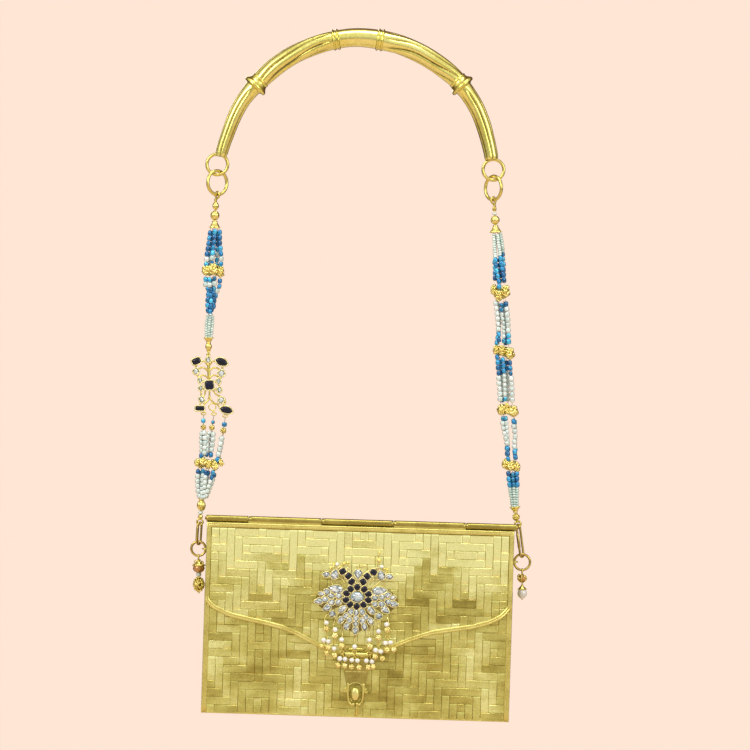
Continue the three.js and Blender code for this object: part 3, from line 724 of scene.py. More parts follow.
TUBE_C = [(d, c) for d, c, r in TUBE]
TUBE_R = [(d, r) for d, c, r in TUBE]


def step(x, a, b):
    t = min(max((x - a) / (b - a), 0.0), 1.0)
    return t * t * (3 - 2 * t)


def out_dir(deg):
    t = math.radians(deg)
    return np.array([math.sin(t), 0, math.cos(t)])


def tube_centre(deg):
    return arc_point(deg) + out_dir(deg) * lerp_table(TUBE_C, deg)


def handle_fold(deg, phi):
    """Radius factor and how deep in a crease the spot lies; the handle darkens its tone by that depth as painted crease
    shade. phi: 0 on the outside of the arc, 90 degrees at the front.
    """
    a = abs(deg)
    if a < 47.5:
        depth = 0.30 * step(a, 9.5, 16) * (1 - 0.25 * step(a, 38, 46))
        k = 2.15 * deg + 9 * math.sin(math.radians(deg * 7.0)) + 5 * math.sin(math.radians(deg * 17 + 40))
        psi = 7 * (phi + math.radians(k)) + 0.9 * math.sin(phi + 0.6) + 1.2
        fold = abs(math.cos(psi / 2)) ** 0.34
        wide = 0.5 + 0.5 * math.cos(phi - math.radians(150))
        depth *= 0.30 + 0.75 * wide
    else:
        depth = 0.25 * step(a, 50, 54)
        psi = 6 * (phi + 0.0016 * (a - 50)) + 0.5
        fold = abs(math.cos(psi / 2)) ** 0.32
    return 1 - depth * (1 - fold), depth / 0.3 * (1 - fold)


B = Build()
m_round = 150
verts, faces, tones = [], [], []
degs = list(np.arange(-80.9, 82.3, 0.4))
deep = []
for d in degs:
    c, nrm = tube_centre(d), out_dir(d)
    end = 1.0 if -80.0 < d < 81.3 else 0.94
    R = lerp_table(TUBE_R, d) * end
    row = []
    for k in range(m_round):
        phi = 2 * math.pi * k / m_round
        f, q = handle_fold(d, phi)
        row.append(q)
        verts.append(c + nrm * R * f * math.cos(phi) + np.array([0, -1, 0]) * R * f * math.sin(phi))
    deep.append(row)
for i in range(len(degs) - 1):
    for k in range(m_round):
        l = (k + 1) % m_round
        faces.append([i * m_round + k, i * m_round + l, (i + 1) * m_round + l, (i + 1) * m_round + k])
        # painted shade: the tone darkens with the crease depth, so the creases of the flutes read dark
        q = (deep[i][k] + deep[i][l] + deep[i + 1][k] + deep[i + 1][l]) / 4
        tones.append(0.62 - 1.3 * min(max(q - 0.12, 0.0), 0.45))
faces.append(list(range(m_round))[::-1])
faces.append([(len(degs) - 1) * m_round + k for k in range(m_round)])
tones += [0.3, 0.3]
B.add(verts, faces, 0, tones)
B.make("handle_fluted_tube", [M["handle"]], "handle", ("handle_tube",))

THIN = [(-2.5, 5.2), (-2.45, 6.05), (-2.3, 6.35), (-2.05, 6.8), (-1.7, 7.1), (-1.35, 7.15), (-1.0, 6.95), (-0.75, 6.6), (-0.5, 6.5), (0.5, 6.5),
        (0.75, 6.6), (1.0, 6.95), (1.35, 7.15), (1.7, 7.1), (2.05, 6.8), (2.3, 6.35), (2.45, 6.05), (2.5, 5.2)]
BIG = [(0.0, 4.9), (0.05, 5.9), (0.35, 6.25), (0.85, 6.35), (1.3, 6.2), (1.8, 6.15), (2.6, 6.4), (3.3, 6.8), (3.9, 7.25), (4.4, 7.75), (4.8, 8.1),
       (5.2, 8.35), (5.7, 8.48), (6.3, 8.46), (6.75, 8.25), (7.05, 7.85), (7.15, 7.2), (7.2, 6.4), (7.45, 6.0), (7.85, 5.75), (7.95, 4.6)]


def fine(profile, n=3):
    """Rounds off a profile by sampling a smooth curve through it."""
    P = [(2 * profile[0][0] - profile[1][0], 2 * profile[0][1] - profile[1][1])] + list(profile) + [
        (2 * profile[-1][0] - profile[-2][0], 2 * profile[-1][1] - profile[-2][1])]
    out = []
    for i in range(1, len(P) - 2):
        for k in range(n):
            t = k / n
            out.append(tuple(0.5 * (2 * P[i][c] + (P[i + 1][c] - P[i - 1][c]) * t
                                    + (2 * P[i - 1][c] - 5 * P[i][c] + 4 * P[i + 1][c] - P[i + 2][c]) * t * t
                                    + (3 * P[i][c] - P[i - 1][c] - 3 * P[i + 1][c] + P[i + 2][c]) * t ** 3) for c in (0, 1)))
    out.append(profile[-1])
    return out


for name, deg in (("collar_thin_left", -9.06), ("collar_thin_right", 9.14)):
    B = Build()
    grow = (lerp_table(TUBE_R, deg) + 0.95) / 7.15
    lathe(B, tube_centre(deg), arc_tangent(deg), [(h, r * grow) for h, r in fine(THIN)], 64)
    B.make(name + "_ridged", [M["handle"]], "handle", (name,))
for name, deg in (("collar_big_left", -46.7), ("collar_big_right", 47.2)):
    B = Build()
    axis = arc_tangent(deg) * (1 if deg > 0 else -1)
    prof = [(h - 3.9, r) for h, r in fine(BIG)]
    lathe(B, arc_point(deg) + out_dir(deg) * (-1.3 if deg < 0 else 0.15), axis, prof, 72)
    B.make(name + "_flanged", [M["handle"]], "handle", (name,))

# ------------------------------------------------------------------ rings
L_END, R_END = np.array([-92.862, 0, -77.814]), np.array([89.364, 0, -81.378])
L_LINK, R_LINK = np.array([-92.862, 0, -89.914]), np.array([89.364, 0, -93.478])
AX_L = np.array([math.sin(math.radians(-40)), math.cos(math.radians(-40)), 0])
AX_R = np.array([math.sin(math.radians(50)), math.cos(math.radians(50)), 0])
L_SIDE, R_SIDE = np.array([-105.28, 0, -331.396]), np.array([108.345, 0, -340.316])

for name, c in (("end_ring_left", L_END), ("end_ring_right", R_END)):
    B = Build()
    torus(B, c, (0, 1, 0), 6.85, 1.08, 64, 14)
    B.make(name + "_wire", [M["ring"]], "handle", (name,))
for name, c, ax, body in (("link_ring_left", L_LINK, AX_L, "link_left"), ("link_ring_right", R_LINK, AX_R, "link_right")):
    B = Build()
    torus(B, c, ax, 7.9, 1.08, 64, 14)
    B.make(name + "_wire", [M["ring"]], body, (name,))
for name, c, R, body in (("side_ring_left", L_SIDE, 4.7, "hook_left"), ("side_ring_right", R_SIDE, 5.2, "hook_right")):
    B = Build()
    torus(B, c, (0, 1, 0), R, 0.80, 56, 12)
    B.make(name + "_wire", [M["aged"]], body, (name,))


def stadium(B, a, b, half, wire, across, mat=0, tone_=0.5):
    """A long link round the line a to b."""
    a, b = np.asarray(a, float), np.asarray(b, float)
    d = unit(b - a)
    s = unit(np.asarray(across, float) - np.dot(across, d) * d)
    pts = []
    for i in range(13):
        t = -math.pi / 2 + math.pi * i / 12
        pts.append(b - d * half + d * half * math.cos(t) + s * half * math.sin(t))
    for k in range(1, 6):
        pts.append(b - d * half + s * half + (a + d * half - (b - d * half)) * k / 6)
    for i in range(13):
        t = math.pi / 2 + math.pi * i / 12
        pts.append(a + d * half + d * half * math.cos(t) + s * half * math.sin(t))
    for k in range(1, 6):
        pts.append(a + d * half - s * half + (b - d * half - (a + d * half)) * k / 6)
    tube(B, pts, wire, 12, closed=True, mat=mat, tone=tone_, plane=np.cross(d, s))


L_HOOK, R_HOOK = PX(199.9, 522.5), PX(517.9, 524.6)
for name, top, ring, R, body in (("hook_link_left", L_HOOK, L_SIDE, 4.7, "hook_left"), ("hook_link_right", R_HOOK, R_SIDE, 5.2, "hook_right")):
    B = Build()
    low = ring + np.array([0, 0, R - 1.82])
    stadium(B, top, low, 1.95, 0.74, (0.60, 0.80, 0))
    # the spring bar laid beside the link's opening side
    d = unit(low - top)
    mid = (top + low) / 2
    tube(B, [mid - d * 4.2 + np.array([-1.17, -1.56, 0]), mid + d * 4.2 + np.array([-1.17, -1.56, 0])], 0.95, 12, round_ends=True)
    B.make(name + "_wire", [M["aged"]], body, (name,))


# ------------------------------------------------------------------ beads
rng = random.Random(41)


def seed_bead(B, c, axis, r, h, mat, tone_, n=12):
    """A short rounded glass tube with a dimple at each hole."""
    e = h / 2
    prof = [(-e * 0.80, 0), (-e * 0.82, r * 0.22), (-e * 0.98, r * 0.42), (-e * 0.96, r * 0.70), (-e * 0.72, r * 0.92), (-e * 0.3, r), (e * 0.3, r),
            (e * 0.72, r * 0.92), (e * 0.96, r * 0.70), (e * 0.98, r * 0.42), (e * 0.82, r * 0.22), (e * 0.80, 0)]
    lathe(B, c, axis, prof, n, mat, tone_)


def granule_bead(B, c, axis, rx, rz, mat=0, tone_=0.5, grains=34, size=0.27, seed=1):
    """A cast gold bead: a core with rows of grains and short worm-like ridges."""
    rr = random.Random(seed)
    e1, e2, a = basis(axis)
    c = np.asarray(c, float)
    prof = [(-math.cos(math.pi * i / 10) * rz * 0.86, math.sin(math.pi * i / 10) * rx * 0.84) for i in range(11)]
    prof[0] = (-rz * 0.86, 0)
    prof[-1] = (rz * 0.86, 0)
    # painted shade: the core is given a much darker tone than the grains, so the gaps between them read dark
    lathe(B, c, a, prof, 16, mat, tone_ - 0.40)
    golden = math.pi * (3 - math.sqrt(5))
    for i in range(grains):
        z = 1 - 2 * (i + 0.5) / grains
        w = math.sqrt(1 - z * z)
        t = golden * i + rr.uniform(-0.15, 0.15)
        d = e1 * math.cos(t) * w * rx + e2 * math.sin(t) * w * rx + a * z * rz
        s = min(rx, rz) * size * rr.uniform(0.85, 1.15)
        p = c + d * (1 - 0.9 * s / max(np.linalg.norm(d), 1e-6))
        if i % 3:
            ball(B, p, s, 7, 5, mat, tone_ + rr.uniform(-0.08, 0.12), unit(d))
        else:
            u = unit(np.cross(d, e1 * rr.uniform(-1, 1) + e2 * rr.uniform(-1, 1) + a * rr.uniform(-1, 1)))
            tube(B, [p - u * s * 1.3, p + unit(d) * s * 0.15, p + u * s * 1.3], s * 0.8, 6, round_ends=True, mat=mat, tone=tone_ + rr.uniform(-0.05, 0.12))


def ribbed_bead(B, c, axis, rx, rz, ribs=11, mat=0, tone_=0.5, spiral=0.0):
    prof = [(-math.cos(math.pi * i / 14) * rz, math.sin(math.pi * i / 14) * rx) for i in range(15)]
    prof[0] = (-rz, 0)
    prof[-1] = (rz, 0)
    lathe(B, c, axis, prof, ribs * 6, mat, tone_, twist=lambda t, h: 1 - 0.16 * (1 - abs(math.cos(ribs * (t + spiral * h) / 2)) ** 0.7))


def cut_bead(B, c, axis, rx, rz, n=8, mat=0, tone_=0.5):
    """A faceted bead."""
    e1, e2, a = basis(axis)
    rows = [(-1.0, 0.35), (-0.55, 0.86), (0.0, 1.0), (0.55, 0.86), (1.0, 0.35)]
    verts, faces, tones = [], [], []
    for k, (h, r) in enumerate(rows):
        for i in range(n):
            t = 2 * math.pi * (i + 0.5 * (k % 2)) / n
            verts.append(np.asarray(c, float) + a * h * rz + e1 * math.cos(t) * r * rx + e2 * math.sin(t) * r * rx)
    for k in range(len(rows) - 1):
        for i in range(n):
            j = (i + 1) % n
            p, q = k * n, (k + 1) * n
            if k % 2 == 0:
                faces += [[p + i, p + j, q + i], [p + j, q + j, q + i]]
            else:
                faces += [[p + i, q + j, q + i], [p + i, p + j, q + j]]
            tones += [tone_ + rng.uniform(-0.1, 0.1)] * 2
    faces.append(list(range(n))[::-1])
    faces.append([(len(rows) - 1) * n + i for i in range(n)])
    tones += [tone_, tone_]
    B.add(verts, faces, mat, tones, False)


def cap(B, top, low, r_top, r_low, petals=8, mat=0, tone_=0.5):
    """A cone cap over a bundle, its rim cut into petals."""
    top, low = np.asarray(top, float), np.asarray(low, float)
    L = np.linalg.norm(low - top)
    a = unit(low - top)
    prof = [(0, r_top * 0.3), (0, r_top * 0.8), (L * 0.06, r_top), (L * 0.14, r_top * 0.95), (L * 0.22, r_top * 0.85), (L * 0.5, r_top + (r_low - r_top) * 0.42),
            (L * 0.8, r_low * 0.93), (L * 0.93, r_low * 1.02), (L, r_low), (L, r_low * 0.86), (L * 0.78, r_low * 0.78), (L * 0.4, r_top * 0.6)]

    def petal(t, h):
        k = max(0.0, (h / L - 0.25) / 0.75)
        return 1 - 0.15 * k * (1 - abs(math.cos(petals * t / 2)) ** 0.6)

    lathe(B, top, a, prof, petals * 6, mat, tone_, twist=petal)
    e1, e2, _ = basis(a)
    for i in range(petals):
        t = 2 * math.pi * i / petals
        ball(B, low - a * L * 0.1 + (e1 * math.cos(t) + e2 * math.sin(t)) * r_low * 0.97, r_low * 0.16, 7, 5, mat, tone_ + 0.1)


KIND = {
    # kind: (material index, radius, height, pitch, tone, tone spread)
    "b": (0, 1.43, 3.40, 3.52, 0.50, 0.30),  # blue
    "t": (1, 1.20, 3.00, 3.20, 0.50, 0.24),  # teal
    "w": (2, 1.64, 3.20, 3.42, 0.57, 0.15),  # white, large
    "v": (2, 1.22, 2.70, 2.90, 0.50, 0.14),  # white, small
    "m": (3, 1.22, 1.52, 1.60, 0.50, 0.18),  # mint seed
    "p": (3, 1.22, 1.52, 1.60, 0.80, 0.14),  # pale seed
    "B": (0, 1.55, 3.55, 3.72, 0.55, 0.24),  # blue, large
    "c": (0, 1.30, 3.20, 3.40, 0.85, 0.15),  # light blue
}
BEAD_MATS = [M["blue"], M["teal"], M["white"], M["mint"], M["thread"], M["bead"]]


phase = [0]


def string(B, pts, kinds, scale=1.0, jitter=0.10, last=True):
    """Beads threaded on a path. pts: (u, v, y mm). kinds: (v where the kind ends, kind), top to bottom."""
    path = smooth_path([PX(u, v, y) for u, v, y in pts], 1.0)
    at, L = along(path)
    B_thread = [at(L * k / 40)[0] for k in range(41)]
    tube(B, B_thread, 0.22, 5, mat=4, tone=0.5)
    phase[0] += 1
    s = 1.6 * scale if pts[0][2] > 0.85 else (0.0, 1.15, 0.35, 0.8)[phase[0] % 4] * scale
    while True:
        p0, _ = at(s)
        v = 46.5 - p0[2] / GRID
        kind = kinds[-1][1]
        for lim, k in kinds:
            if v < lim:
                kind = k
                break
        m, r, h, pitch, tn, ts = KIND[kind]
        r, h, pitch = r * scale, h * scale, pitch * scale
        if s + h > L + 1.5:
            break
        p, d = at(s + h / 2)
        off = np.array([rng.uniform(-jitter, jitter), rng.uniform(-jitter, jitter), 0])
        q = rng.uniform(0.94, 1.06)
        tilt = np.array([rng.uniform(-0.10, 0.10), rng.uniform(-0.10, 0.10), 0])
        seed_bead(B, p + off, unit(d + tilt), r * q, h * rng.uniform(0.96, 1.02), m, tn + rng.uniform(-ts, ts))
        s += pitch


def wire(B, pts, r=0.35, mat=0, tone_=0.45, m=8, step_=0.8):
    tube(B, smooth_path(pts, step_), r, m, mat=mat, tone=tone_, round_ends=True)


def gold_piece(name, node, body, fill, mats=None):
    B = Build()
    fill(B)
    return B.make(name, mats or [M["bead"]], body, (node,))


def eye(B, c, axis, R, r, mat=0, tone_=0.5):
    torus(B, c, axis, R, r, 28, 9, mat=mat, tone=tone_)


# ---- left strap
L_EYE = L_LINK + np.array([0, 0, -8.03])
R_EYE = R_LINK + np.array([0, 0, -8.03])
EYE_AX_L = np.array([AX_L[1], -AX_L[0], 0])
EYE_AX_R = np.array([AX_R[1], -AX_R[0], 0])
STACK = [M["bead"], M["mint"], M["ring"]]


def left_top(B):
    eye(B, L_EYE, EYE_AX_L, 2.15, 0.64, 2)
    wire(B, [L_EYE + np.array([0, 0, -2.2]), PX(215.7, 203), PX(215, 212), PX(214.8, 224)], 0.42, 2)
    for k in range(4):  # wire wrap under the eye
        torus(B, PX(215.5, 199.0 + 1.0 * k), (0, 0, 1), 0.72, 0.3, 14, 6, 2)
    cut_bead(B, PX(215.7, 205.9), (0, 0, 1), 2.2, 2.65, 8, 0, 0.5)
    ribbed_bead(B, PX(214.9, 215.4), (0.05, 0, 1), 3.05, 3.2, 9, 0, 0.55, 0.12)
    cap(B, PX(214.8, 220.6), PX(214.7, 228.1), 1.9, 3.35, 8, 0, 0.55)


gold_piece("left_top_stack_beads", "left_top_stack", "strap_left", left_top, STACK)

B = Build()
K1 = [(254.6, "b"), (259.2, "w"), (300, "b")]
string(B, [(210.4, 228.6, -0.9), (208.2, 246, -1.6), (206.8, 257, -1.6), (206.3, 266.2, -1.3)], K1)
string(B, [(215.2, 228.6, -1.6), (214.0, 246, -2.3), (212.4, 257, -2.4), (211.9, 266, -1.8)], [(252.8, "b"), (257, "w"), (300, "b")])
string(B, [(219.8, 228.6, -0.7), (220.3, 246, -1.0), (221.4, 257, -1.2), (220.8, 266.2, -1.0)], [(254.8, "b"), (259.2, "w"), (300, "b")])
string(B, [(212.6, 228.6, 1.3), (211.4, 246, 1.7), (209.8, 257, 1.8), (209.4, 266, 1.7)], K1)
string(B, [(217.7, 228.6, 1.4), (217.6, 246, 1.8), (217.0, 257, 1.9), (216.4, 266, 1.8)], [(251, "b"), (256, "w"), (300, "b")])
B.make("left_strands_upper_beads", BEAD_MATS, "strap_left", ("left_strands_upper",))


def cluster(items):
    def fill(B):
        for k, (u, v, y, rx, rz, lean) in enumerate(items):
            granule_bead(B, PX(u, v, y), (lean, 0, 1), rx, rz, 0, 0.60, 24, 0.37, int(u * 7 + v * 3) + k)
    return fill


gold_piece("left_cluster_upper_beads", "left_cluster_upper", "strap_left",
           cluster([(206.2, 270.2, -1.2, 2.9, 3.7, 0.15), (212.9, 269.3, -2.2, 3.2, 4.2, -0.1), (220.6, 271.6, -0.9, 2.5, 4.1, 0.05),
                    (209.2, 270.6, 2.3, 2.9, 3.7, 0.0), (216.6, 270.2, 2.3, 3.0, 3.8, 0.0)]))

B = Build()
K2 = [(281.2, "b"), (286.6, "w"), (312.6, "b"), (360, "m")]
string(B, [(205.6, 276.3, -0.9), (205.9, 285, -1.3), (208.4, 291, -1.4), (207.4, 303, -1.2), (208.4, 312.4, -0.6)], [(281.2, "b"), (286.6, "w"), (360, "b")])
string(B, [(209.8, 276.1, -1.9), (209.6, 285, -2.2), (210.9, 292, -2.1), (211.0, 303, -1.7), (210.3, 312.8, -1.2)], [(281.0, "b"), (285.6, "w"), (360, "b")])
string(B, [(214.8, 276.3, -1.3), (214.5, 285, -1.6), (213.9, 292, -1.3), (212.9, 302, -0.4), (211.4, 312.4, 0.1)], [(280.6, "t"), (285.4, "w"), (290, "t"), (360, "b")])
string(B, [(220.4, 276.7, -0.4), (219.2, 287, -0.5), (216.6, 292, -0.3), (214.8, 299, 0.6), (212.4, 311.8, 0.6)], [(283.8, "b"), (289.0, "w"), (292.5, "c"), (360, "b")])
string(B, [(212.3, 276.3, 1.7), (211.6, 292, 1.6), (210.3, 303, 1.3), (209.8, 312.2, 0.9)], [(281.2, "b"), (286.0, "w"), (360, "b")])
for x0, x1, y0, dy in ((-2.0, -1.9, -0.2, 0.3), (0.2, 0.1, -1.3, 0.0), (2.3, 2.2, -0.1, 0.2), (0.3, 0.2, 1.2, 0.0)):
    string(B, [(210.4 + x0 * 0.9, 313.6, y0), (209.0 + x0 * 1.35, 326, y0), (208.8 + x1, 337.2, y0)], [(400, "m")])
B.make("left_strands_middle_beads", BEAD_MATS, "strap_left", ("left_strands_middle",))


def left_middle(B):
    cap(B, PX(208.6, 343.6), PX(208.6, 337.4), 1.5, 2.95, 8, 0, 0.5)
    ribbed_bead(B, PX(208.6, 346.6), (0, 0, 1), 2.15, 2.75, 8, 0, 0.55)
    wire(B, [PX(208.6, 341), PX(208.5, 351.6)], 0.45, 2)
    torus(B, PX(208.5, 350.6), (0, 1, 0), 0.95, 0.38, 20, 8, 2)


gold_piece("left_middle_stack_beads", "left_middle_stack", "strap_left", left_middle, STACK)


# ------------------------------------------------------------------ set stones
def outline_points(kind, a, b, n, shift=0.0):
    out = []
    for i in range(n):
        t = 2 * math.pi * (i + shift) / n
        c, s = math.cos(t), math.sin(t)
        if kind == "round":
            x, z = a * c, b * s
        elif kind == "leaf":
            x, z = a * c, b * s * abs(s) ** 0.30
        elif kind == "drop":
            x, z = a * c, b * s * (1 - 0.42 * c) * 1.02
        elif kind == "rect":
            x, z = a * math.copysign(abs(c) ** 0.38, c), b * math.copysign(abs(s) ** 0.38, s)
        else:
            x, z = a * math.copysign(abs(c) ** 0.6, c), b * math.copysign(abs(s) ** 0.6, s)
        out.append((x, z))
    return out


def gem(B, place, cx, cz, y0, a, b, rot=0.0, kind="round", h=0.9, mat=1, style="cut", rb=0.3, back=0.9, tone_=0.5, n=12, bezel_mat=0, seed=0):
    """A stone in a gold cup, its face towards the front. a runs along rot (degrees from +x), y0 is the girdle's depth."""
    rr = random.Random(int(cx * 97 + cz * 31) + seed)
    cr, sr = math.cos(math.radians(rot)), math.sin(math.radians(rot))

    def pt(x, z, y):
        return place(cx + x * cr - z * sr, y, cz + x * sr + z * cr)

    def ring(scale, y, count=n, shift=0.0):
        return [pt(x * scale, z * scale, y) for x, z in outline_points(kind, a, b, count, shift)]

    if style == "cut":
        rows = [ring(0.98, y0 + 0.25), ring(1.0, y0), ring(0.80, y0 - h * 0.55, n, 0.5), ring(0.52, y0 - h)]
        verts = [p for r in rows for p in r] + [pt(0, 0, y0 + 0.25), pt(0, 0, y0 - h * 0.96)]
        # painted sparkle: random light and dark facet tones, a brighter table and a dark girdle band stand in for
        # glints and shade on the stone
        faces, tones = [], []
        for i in range(n):
            j = (i + 1) % n
            faces.append([i, j, n + j, n + i])
            tones.append(0.3)
            p, q, s = n, 2 * n, 3 * n
            faces += [[p + i, p + j, q + i], [p + j, q + j, q + i], [q + i, q + j, s + j], [q + i, s + j, s + i], [s + i, s + j, 4 * n + 1], [i, 4 * n, j]]
            tones += [tone_ + rr.uniform(-0.52, 0.30), tone_ + rr.uniform(-0.52, 0.30), tone_ + rr.uniform(-0.46, 0.42),
                      tone_ + rr.uniform(-0.46, 0.42), tone_ + 0.12 + rr.uniform(-0.30, 0.38), 0.2]
        B.add(verts, faces, mat, tones, False)
    else:
        rows = [ring(0.98, y0 + 0.25, n * 2)]
        for k in range(6):
            t = math.pi / 2 * k / 6.0
            rows.append(ring(math.cos(t), y0 - h * math.sin(t), n * 2))
        verts = [p for r in rows for p in r] + [pt(0, 0, y0 + 0.25), pt(0, 0, y0 - h)]
        N = n * 2
        faces = []
        for k in range(len(rows) - 1):
            for i in range(N):
                j = (i + 1) % N
                faces.append([k * N + i, k * N + j, (k + 1) * N + j, (k + 1) * N + i])
        for i in range(N):
            j = (i + 1) % N
            faces.append([i, len(rows) * N, j])
            faces.append([(len(rows) - 1) * N + i, (len(rows) - 1) * N + j, len(rows) * N + 1])
        B.add(verts, faces, mat, tone_ + rr.uniform(-0.1, 0.1), True)
    if rb > 0:
        N = 20
        out = outline_points(kind, a + rb * 0.75, b + rb * 0.75, N)
        # painted highlight: the bezel rim is given a bright tone
        tube(B, [pt(x, z, y0 - 0.18) for x, z in out], rb, 6, closed=True, mat=bezel_mat, tone=0.85, plane=unit(place(0, 1, 0) - place(0, 0, 0)))
        # cup behind the stone
        o1 = [pt(x, z, y0 + 0.05) for x, z in outline_points(kind, a + rb * 1.2, b + rb * 1.2, N)]
        o2 = [pt(x, z, y0 + back) for x, z in outline_points(kind, a + rb * 0.9, b + rb * 0.9, N)]
        faces = [[i, (i + 1) % N, N + (i + 1) % N, N + i] for i in range(N)] + [list(range(N)), [N + i for i in range(N)][::-1]]
        # painted shade: the cup behind the stone gets a dark tone
        B.add(o1 + o2, faces, bezel_mat, 0.38, [False] * N + [False, False])


def flat_place(x, y, z):
    return np.array([x, y, z])


# ---- jewelled connector of the left strap
CONNECT = [M["bezel"], M["clear"], M["dark"], M["ring"]]


def connector(B):
    def at(u, v):
        p = PX(u, v)
        return p[0], p[2]

    def stone(u, v, a, b, rot=0, kind="round", style="cut", mat=1, h=0.9, tone_=0.5, rb=0.5):
        x, z = at(u, v)
        gem(B, flat_place, x, z, -0.35, a * 1.12, b * 1.15, rot, kind, h, mat, style, rb, 1.35, tone_)

    stone(208.3, 359.6, 1.75, 1.15, 90, "drop", tone_=0.6)
    stone(196.4, 361.2, 2.55, 1.75, 20, "sq", "dome", 2, 1.0)
    stone(221.6, 361.9, 3.7, 2.1, -22, "leaf", "dome", 2, 1.0)
    stone(196.1, 371.4, 1.65, 1.65, tone_=0.65)
    stone(221.5, 373.4, 1.8, 1.8, tone_=0.65)
    stone(200.3, 380.4, 1.0, 1.5, tone_=0.6)
    stone(200.9, 388.2, 1.0, 1.45, tone_=0.55)
    stone(218.7, 381.2, 1.05, 1.55, tone_=0.6)
    stone(219.5, 389.8, 1.15, 1.5, tone_=0.55)
    stone(209.4, 385.2, 2.5, 2.6, 3, "rect", "dome", 2, 0.9, rb=0.5)
    stone(201.7, 399.7, 1.35, 1.75, 25, tone_=0.6)
    stone(221.2, 400.3, 1.55, 1.75, -20, tone_=0.65)
    stone(200.0, 408.4, 2.55, 1.35, -2, "rect", "dome", 2, 0.85, rb=0.5)
    stone(226.3, 410.0, 3.8, 1.95, -14, "leaf", "dome", 2, 1.0)
    Y = 0.1

    def w(pts, r=0.42, mat=3):
        r = r * 1.35
        wire(B, [PX(u, v, Y) for u, v in pts], r, mat, 0.55)

    wire(B, [PX(208.5, 351.6), PX(208.4, 356)], 0.5, 3)
    torus(B, PX(208.4, 354.6), (0, 1, 0), 1.0, 0.4, 20, 8, 3)
    tube(B, smooth_path([PX(208.3, 363.4, Y), PX(208.7, 370, Y), PX(209.1, 378.6, Y)], 0.8), 1.0, 10, mat=3, tone=0.55)
    for s, x0 in ((-1, 208.4), (1, 208.7)):
        w([(x0, 372.6), (x0 + s * 2.6, 369.0), (x0 + s * 6.4, 367.5), (x0 + s * 10.6, 369.2)], 0.44)
        w([(x0 + 0.5, 379.2), (x0 + s * 2.6, 376.4), (x0 + s * 5.8, 375.0), (x0 + s * 9.4, 377.0)], 0.42)
        w([(x0 + s * 1.5, 364.6), (x0 + s * 3.6, 361.6), (x0 + s * 7.2, 361.2)], 0.42)
    w([(196.4, 364.8), (195.6, 368)], 0.45)
    w([(222.2, 365.4), (222.4, 369.6)], 0.45)
    w([(197.0, 375.0), (198.8, 377.4), (199.6, 380)], 0.42)
    w([(221.2, 377.2), (219.8, 379.4)], 0.42)
    w([(200.6, 384), (200.8, 386)], 0.42)
    w([(219.0, 385), (219.3, 387)], 0.42)
    w([(203.0, 381.6), (205.2, 382.2)], 0.5)
    w([(203.4, 388.6), (205.4, 388.2)], 0.5)
    w([(213.6, 382.2), (216.2, 381.6)], 0.5)
    w([(213.6, 388.8), (216.6, 389.6)], 0.5)
    w([(201.2, 392.2), (201.2, 396)], 0.42)
    w([(205.6, 390.2), (204.6, 394.4), (202.8, 396.6)], 0.4)
    w([(213.2, 390.6), (216.6, 394.8), (220.4, 396.4), (224.2, 398.6), (225.4, 402.2), (223.6, 405.4)], 0.42)
    w([(209.6, 390.8), (209.6, 396.4), (212.4, 401.6), (217.2, 404.2), (219.0, 406.6)], 0.42)
    w([(209.6, 395.6), (208.0, 400.4), (204.8, 403.6), (203.2, 405.6)], 0.42)
    w([(200.4, 403.2), (199.6, 405.4)], 0.42)
    torus(B, PX(212.3, 406.9, Y), (0, 1, 0), 2.35, 0.36, 30, 8, 3, 0.6)
    for u, v in ((203.5, 413.6), (213.8, 413.9), (225.2, 416.0)):
        torus(B, PX(u, v, Y), (0, 1, 0), 1.0, 0.36, 20, 8, 3, 0.5, (0.85, 1.55))
    w([(203.2, 411), (203.4, 412.6)], 0.4)
    w([(212.8, 410.6), (213.7, 412.4)], 0.4)
    w([(225.4, 412.6), (225.3, 414.4)], 0.4)


gold_piece("left_connector_stones", "left_connector", "strap_left", connector, CONNECT)

B = Build()
wire(B, [PX(203.5, 415.2), PX(203.3, 431)], 0.28, 4)
wire(B, [PX(213.8, 415.6), PX(212.6, 423), PX(211.8, 431)], 0.28, 4)
wire(B, [PX(225.2, 417.4), PX(224.2, 425), PX(223.0, 435)], 0.28, 4)
seed_bead(B, PX(203.3, 420.8), (0, 0, 1), 1.45, 2.9, 0, 0.75)
seed_bead(B, PX(213.0, 422.2), (-0.1, 0, -1), 1.15, 2.3, 1, 0.6)
seed_bead(B, PX(224.4, 424.5), (-0.1, 0, -1), 1.65, 2.9, 0, 0.45)
granule_bead(B, PX(203.4, 427.2), (0, 0, 1), 1.85, 1.8, 5, 0.5, 26, 0.3, 5)
granule_bead(B, PX(211.9, 427.6), (0, 0, 1), 1.9, 1.8, 5, 0.5, 26, 0.3, 6)
granule_bead(B, PX(223.3, 430.6), (0, 0, 1), 2.05, 2.0, 5, 0.5, 26, 0.3, 7)
K3 = [(450.6, "w"), (470, "b")]
string(B, [(202.0, 430.2, -0.6), (200.9, 438, -0.8), (201.5, 457, -0.8)], [(450.2, "v"), (470, "b")])
string(B, [(204.0, 430.6, -1.0), (204.9, 438, -1.7), (204.4, 456.4, -1.4)], K3, 0.96)
string(B, [(203.2, 430.6, 1.0), (202.9, 441, 1.5), (202.9, 456.4, 1.5)], [(450.2, "v"), (470, "b")])
string(B, [(210.8, 430.6, -0.6), (208.4, 435, -0.8), (207.2, 443, -0.8), (207.0, 457.4, -0.8)], [(451.2, "v"), (470, "t")])
string(B, [(212.4, 431.0, -1.0), (213.2, 436, -1.4), (212.2, 446, -1.4), (210.6, 458, -1.4)], [(452.2, "w"), (470, "b")], 0.98)
string(B, [(211.8, 431.0, 1.2), (211.0, 441, 1.5), (209.6, 458, 1.5)], [(452, "v"), (470, "b")])
